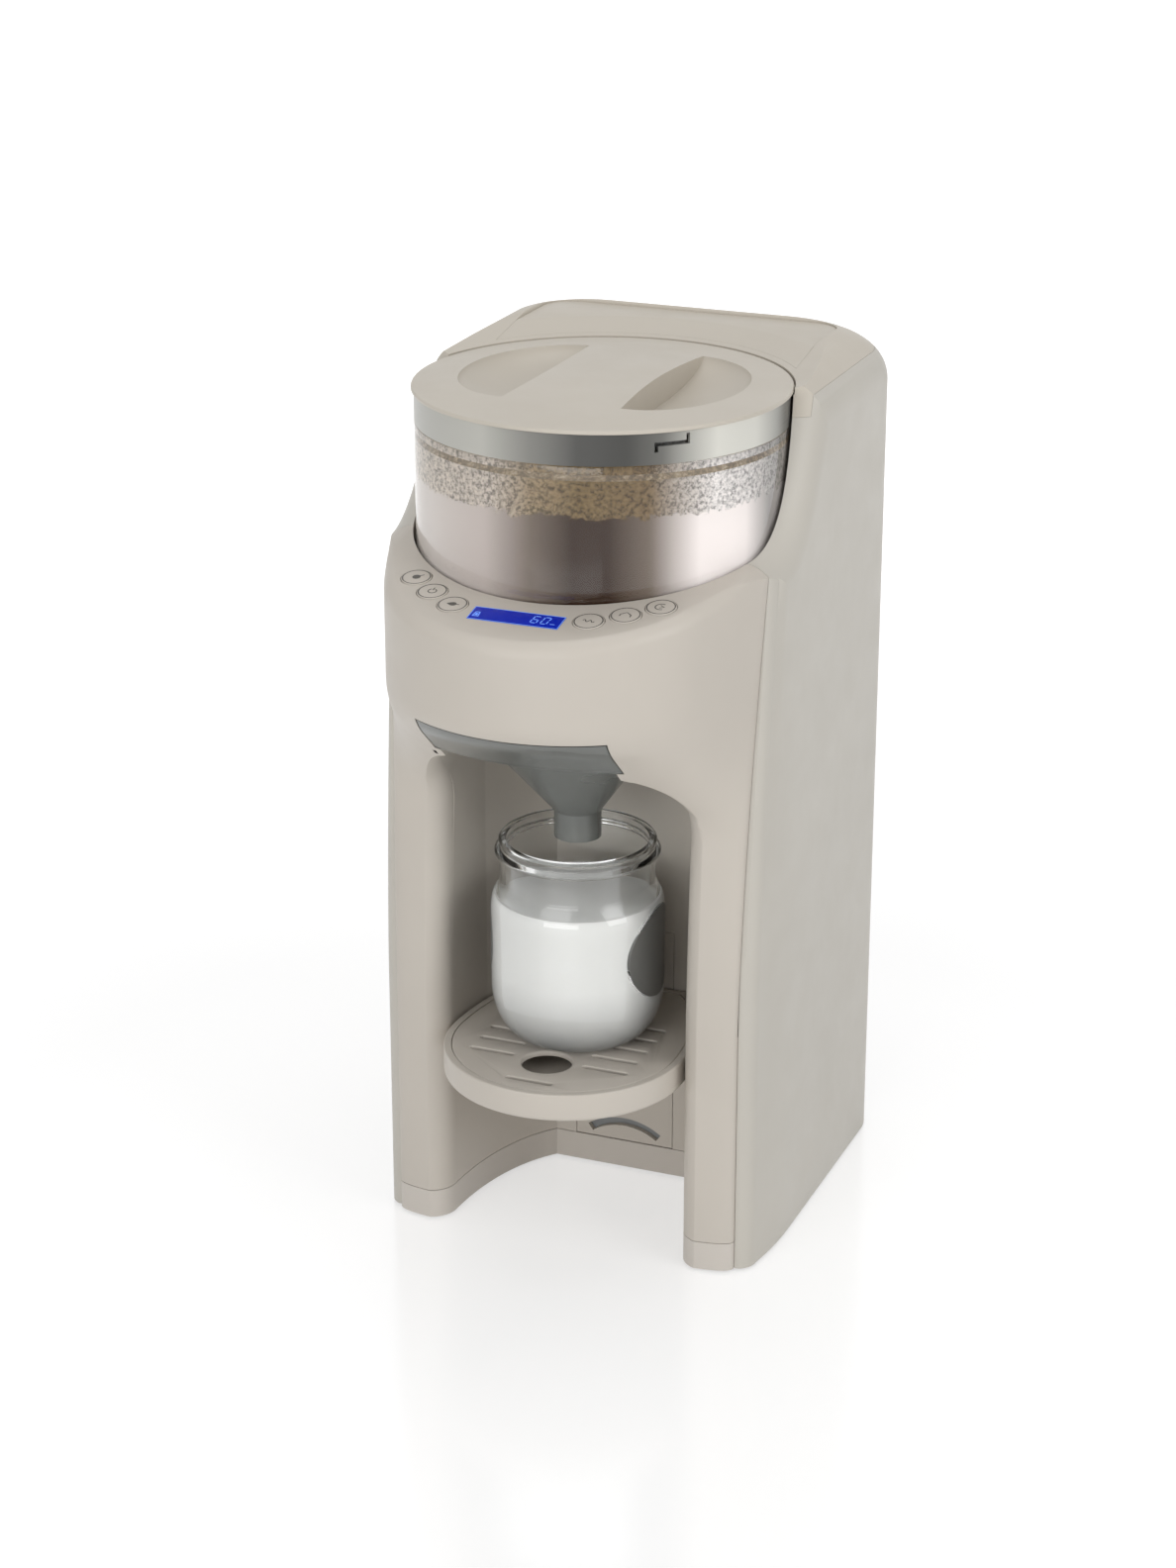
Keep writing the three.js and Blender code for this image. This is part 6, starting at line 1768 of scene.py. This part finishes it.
class FORMULA_OT_container(bpy.types.Operator):
    """Build the clear powder container, its ring, its lid and the powder"""

    bl_idname = "formula.container"
    bl_label = "Build container"

    def execute(self, context):
        clear = clear_plastic("clear_jar", colours().clear)
        placed(jar(), clear, "container", "clear", "powder_container")
        placed(jar_lid(), bpy.data.materials["lid_plastic"], "lid", "lid", "container_lid")
        placed(jar_ring(), silver_ring_finish(colours().silver), "lid", "silver", "lid_skirt")
        powder = powder_heap(sizes().powder_lump)
        placed(powder, powder_finish(colours()), "container", "powder", "formula_powder")
        return {"FINISHED"}


class FORMULA_OT_funnel(bpy.types.Operator):
    """Build the smoke-tinted funnel"""

    bl_idname = "formula.funnel"
    bl_label = "Build funnel"

    def execute(self, context):
        smoke = smoke_plastic("smoke_funnel", colours().smoke)
        placed(funnel_body(), smoke, "funnel", "smoke", "funnel")
        return {"FINISHED"}


class FORMULA_OT_tray(bpy.types.Operator):
    """Build the drip tray and its grate"""

    bl_idname = "formula.tray"
    bl_label = "Build tray"

    def execute(self, context):
        cream = bpy.data.materials["cream_plastic"]
        placed(tray_pan(), cream, "tray", "shell", "drip_tray")
        placed(tray_cover(), cream, "grate", "shell", "tray_grate")
        return {"FINISHED"}


class FORMULA_OT_bottle(bpy.types.Operator):
    """Build the bottle, its hand pads and the milk"""

    bl_idname = "formula.bottle"
    bl_label = "Build bottle"

    def execute(self, context):
        clear = clear_plastic("clear_bottle", colours().clear)
        pad = smoke_plastic("smoke_pad", colours().pad, 0.3)
        placed(bottle_jar(), clear, "bottle", "clear", "bottle")
        placed(bottle_pad(-1, "hand_pad_left"), pad, "bottle", "smoke", "bottle_grip_left")
        placed(bottle_pad(1, "hand_pad_right"), pad, "bottle", "smoke", "bottle_grip_right")
        placed(bottle_milk(), milk_finish(colours().milk), "bottle", "milk", "milk")
        return {"FINISHED"}


class FORMULA_OT_tank(bpy.types.Operator):
    """Build the clear water tank and its cover"""

    bl_idname = "formula.tank"
    bl_label = "Build tank"

    def execute(self, context):
        placed(tank_box(), bpy.data.materials["clear_jar"], "tank", "clear", "water_tank")
        placed(tank_cover(), bpy.data.materials["lid_plastic"], "tank_lid", "shell", "tank_lid")
        return {"FINISHED"}


class FORMULA_OT_controls(bpy.types.Operator):
    """Build the display, its digits, the six buttons and their plain symbols"""

    bl_idname = "formula.controls"
    bl_label = "Build controls"

    def execute(self, context):
        cream = bpy.data.materials["cream_plastic"]
        ink = printed_ink("grey_ink", colours().ink)
        screen = screen_finish("blue_screen", colours().screen, SCREEN_GLOW)
        lit = screen_finish("lit_segments", colours().segments, SEGMENT_GLOW)
        placed(display_face(), screen, "housing", "screen", "display_window")
        placed(display_print(), lit, "housing", "screen")
        for side, number, (x, y) in button_places():
            node = f"button_{side}_{number}"
            placed(button_piece(side, number, x, y), cream, node, "shell", node)
            placed(button_print(side, number, x, y), ink, node, "shell")
        return {"FINISHED"}


class FORMULA_OT_inner_parts(bpy.types.Operator):
    """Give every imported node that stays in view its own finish"""

    bl_idname = "formula.inner_parts"
    bl_label = "Finish inner parts"

    def execute(self, context):
        tones = colours()
        ready = bpy.data.materials
        finishes = {
            "shell": ready["cream_plastic"],
            "side": ready["side_plastic"],
            "lid": ready["lid_plastic"],
            "base": ready["base_plastic"],
            "clear": ready["clear_jar"],
            "silver": moulded_plastic("satin_parts", tones.silver, 0.32),
            "smoke": ready["smoke_funnel"],
            "rubber": rubber_finish("dark_rubber", tones.rubber),
            "powder": ready["formula_powder"],
            "milk": ready["milk_white"],
            "inner": moulded_plastic("inner_plastic", tones.inner, 0.55, 0.00002, 0.04),
            "steel": machined_steel("turned_steel", tones.steel),
            "circuit": board_finish("circuit_board", tones.circuit),
            "screen": ready["blue_screen"],
        }
        for part in frame["record"]["subparts"]:
            node = frame["nodes"][part["node"]]
            node.data.materials.clear()
            node.data.materials.append(finishes[part["material_slot"]])
        return {"FINISHED"}


# Each lamp's name, place, height that it aims at, size and share of the power
LAMPS = (
    ("low_front_lamp", (0, -1.75, 0.42), 0.15, (1.4, 0.5), 1.8),
    ("high_front_lamp", (-0.3, -1.5, 1.1), 0.15, (1.2, 0.8), 1.3),
    ("right_lamp", (1.7, -0.5, 0.9), 0.2, (0.9, 1.4), 2.6),
    ("top_lamp", (0, 0.2, 1.9), 0.2, (1.2, 1.2), 2.2),
)
FLOOR_COLOUR = (0.9, 0.9, 0.9, 1)
FLOOR_ROUGHNESS = 0.9
MIRROR_ROUGHNESS = 0.16
FLOOR_GLOW = 1.45
FLOOR_SHEEN = 0.25
# Nearest and farthest reach of the fade, and the shaded floor's share at each
FLOOR_FADE = (0.3, 1.2, 0.5, 0.05)
FLOOR_CELLS = 4
SKY_LIGHT = 0.37


def area_lamp(name, place, aim, size, power):
    lamp = bpy.data.lights.new(name, "AREA")
    lamp.shape = "RECTANGLE"
    lamp.size, lamp.size_y = size
    lamp.energy = power
    turn = (Vector((0, 0, aim)) - Vector(place)).to_track_quat("-Z", "Y").to_matrix().to_4x4()
    linked(name, lamp).matrix_world = Matrix.Translation(place) @ turn


def seen_by_rays(tree):
    """1 for rays from the camera, a mirror or glass, else 0."""
    path = add_node(tree, "LightPath", {}).outputs
    either = worked_out(tree, "MAXIMUM", path["Is Camera Ray"], path["Is Glossy Ray"])
    return worked_out(tree, "MAXIMUM", either, path["Is Transmission Ray"])


def floor_finish():
    """White floor with a faint shadow and a soft mirror image near the machine, plain white far off."""
    finish, tree, shader = finish_nodes("pale_floor")
    fill(tree, shader, {"Base Color": FLOOR_COLOUR, "Roughness": FLOOR_ROUGHNESS})
    glow = add_node(tree, "Emission", {"Strength": FLOOR_GLOW})
    mirror = add_node(tree, "BsdfGlossy", {"Color": WHITE, "Roughness": MIRROR_ROUGHNESS})
    reach = add_node(tree, "VectorMath", {0: object_place(tree)}, operation="LENGTH").outputs["Value"]
    shaded = blended(tree, mapped(tree, reach, *FLOOR_FADE), blended(tree, FLOOR_SHEEN, glow, mirror), shader)
    shown(tree, blended(tree, seen_by_rays(tree), shader, shaded))
    return finish


def studio_world():
    world = bpy.data.worlds.new("studio")
    world.use_nodes = True
    tree = world.node_tree
    light = fill(tree, tree.nodes["Background"], {"Color": WHITE, "Strength": SKY_LIGHT})
    backdrop = add_node(tree, "Background", {"Color": WHITE, "Strength": 1.0})
    shown(tree, blended(tree, seen_by_rays(tree), light, backdrop), "World Output")
    bpy.context.scene.world = world


CAMERA_PLACE = (0.5010, -1.2699, 0.7155)
SENSOR_WIDTH = 36
VIEW_END = 30


class FORMULA_OT_stage(bpy.types.Operator):
    """Build the floor, the lamps, the world and the camera"""

    bl_idname = "formula.stage"
    bl_label = "Build stage"

    def execute(self, context):
        scene = context.scene
        scene.view_settings.view_transform = "Standard"
        bm = bmesh.new()
        bmesh.ops.create_grid(bm, x_segments=FLOOR_CELLS, y_segments=FLOOR_CELLS,
                              size=sizes().floor_size / 2)
        floor = as_object("floor", bm)
        floor.data.materials.append(floor_finish())
        for name, place, aim, size, share in LAMPS:
            area_lamp(name, place, aim, size, sizes().lamp_power * share)
        studio_world()
        camera = bpy.data.cameras.new("camera")
        camera.lens = sizes().camera_lens
        camera.sensor_width = SENSOR_WIDTH
        camera.clip_end = VIEW_END
        holder = linked("camera", camera)
        turn = Matrix.Rotation(sizes().camera_azimuth, 4, "Z")
        tip = Matrix.Rotation(math.pi / 2 - sizes().camera_pitch, 4, "X")
        holder.matrix_world = Matrix.Translation(CAMERA_PLACE) @ turn @ tip
        scene.camera = holder
        return {"FINISHED"}


class FORMULA_PT_panel(bpy.types.Panel):
    """Lists the sizes, the colours and the building steps"""

    bl_idname = "FORMULA_PT_panel"
    bl_label = "Formula maker"
    bl_space_type = "VIEW_3D"
    bl_region_type = "UI"
    bl_category = "Formula maker"

    def draw(self, context):
        for group in (context.scene.formula_maker_sizes, context.scene.formula_maker_colours):
            for name in group.__annotations__:
                self.layout.prop(group, name)
        for operator in STEPS:
            self.layout.operator(operator.bl_idname)


STEPS = (
    FORMULA_OT_housing, FORMULA_OT_container, FORMULA_OT_funnel, FORMULA_OT_tray, FORMULA_OT_bottle,
    FORMULA_OT_tank, FORMULA_OT_controls, FORMULA_OT_inner_parts, FORMULA_OT_stage,
)
CLASSES = (FormulaMakerSizes, FormulaMakerColours) + STEPS + (FORMULA_PT_panel,)


def register():
    for one in CLASSES:
        bpy.utils.register_class(one)
    bpy.types.Scene.formula_maker_sizes = PointerProperty(type=FormulaMakerSizes)
    bpy.types.Scene.formula_maker_colours = PointerProperty(type=FormulaMakerColours)


def unregister():
    del bpy.types.Scene.formula_maker_colours
    del bpy.types.Scene.formula_maker_sizes
    for one in reversed(CLASSES):
        bpy.utils.unregister_class(one)


def main():
    register()
    bpy.ops.formula.housing()
    bpy.ops.formula.container()
    bpy.ops.formula.funnel()
    bpy.ops.formula.tray()
    bpy.ops.formula.bottle()
    bpy.ops.formula.tank()
    bpy.ops.formula.controls()
    bpy.ops.formula.inner_parts()
    bpy.ops.formula.stage()


if __name__ == "__main__":
    main()
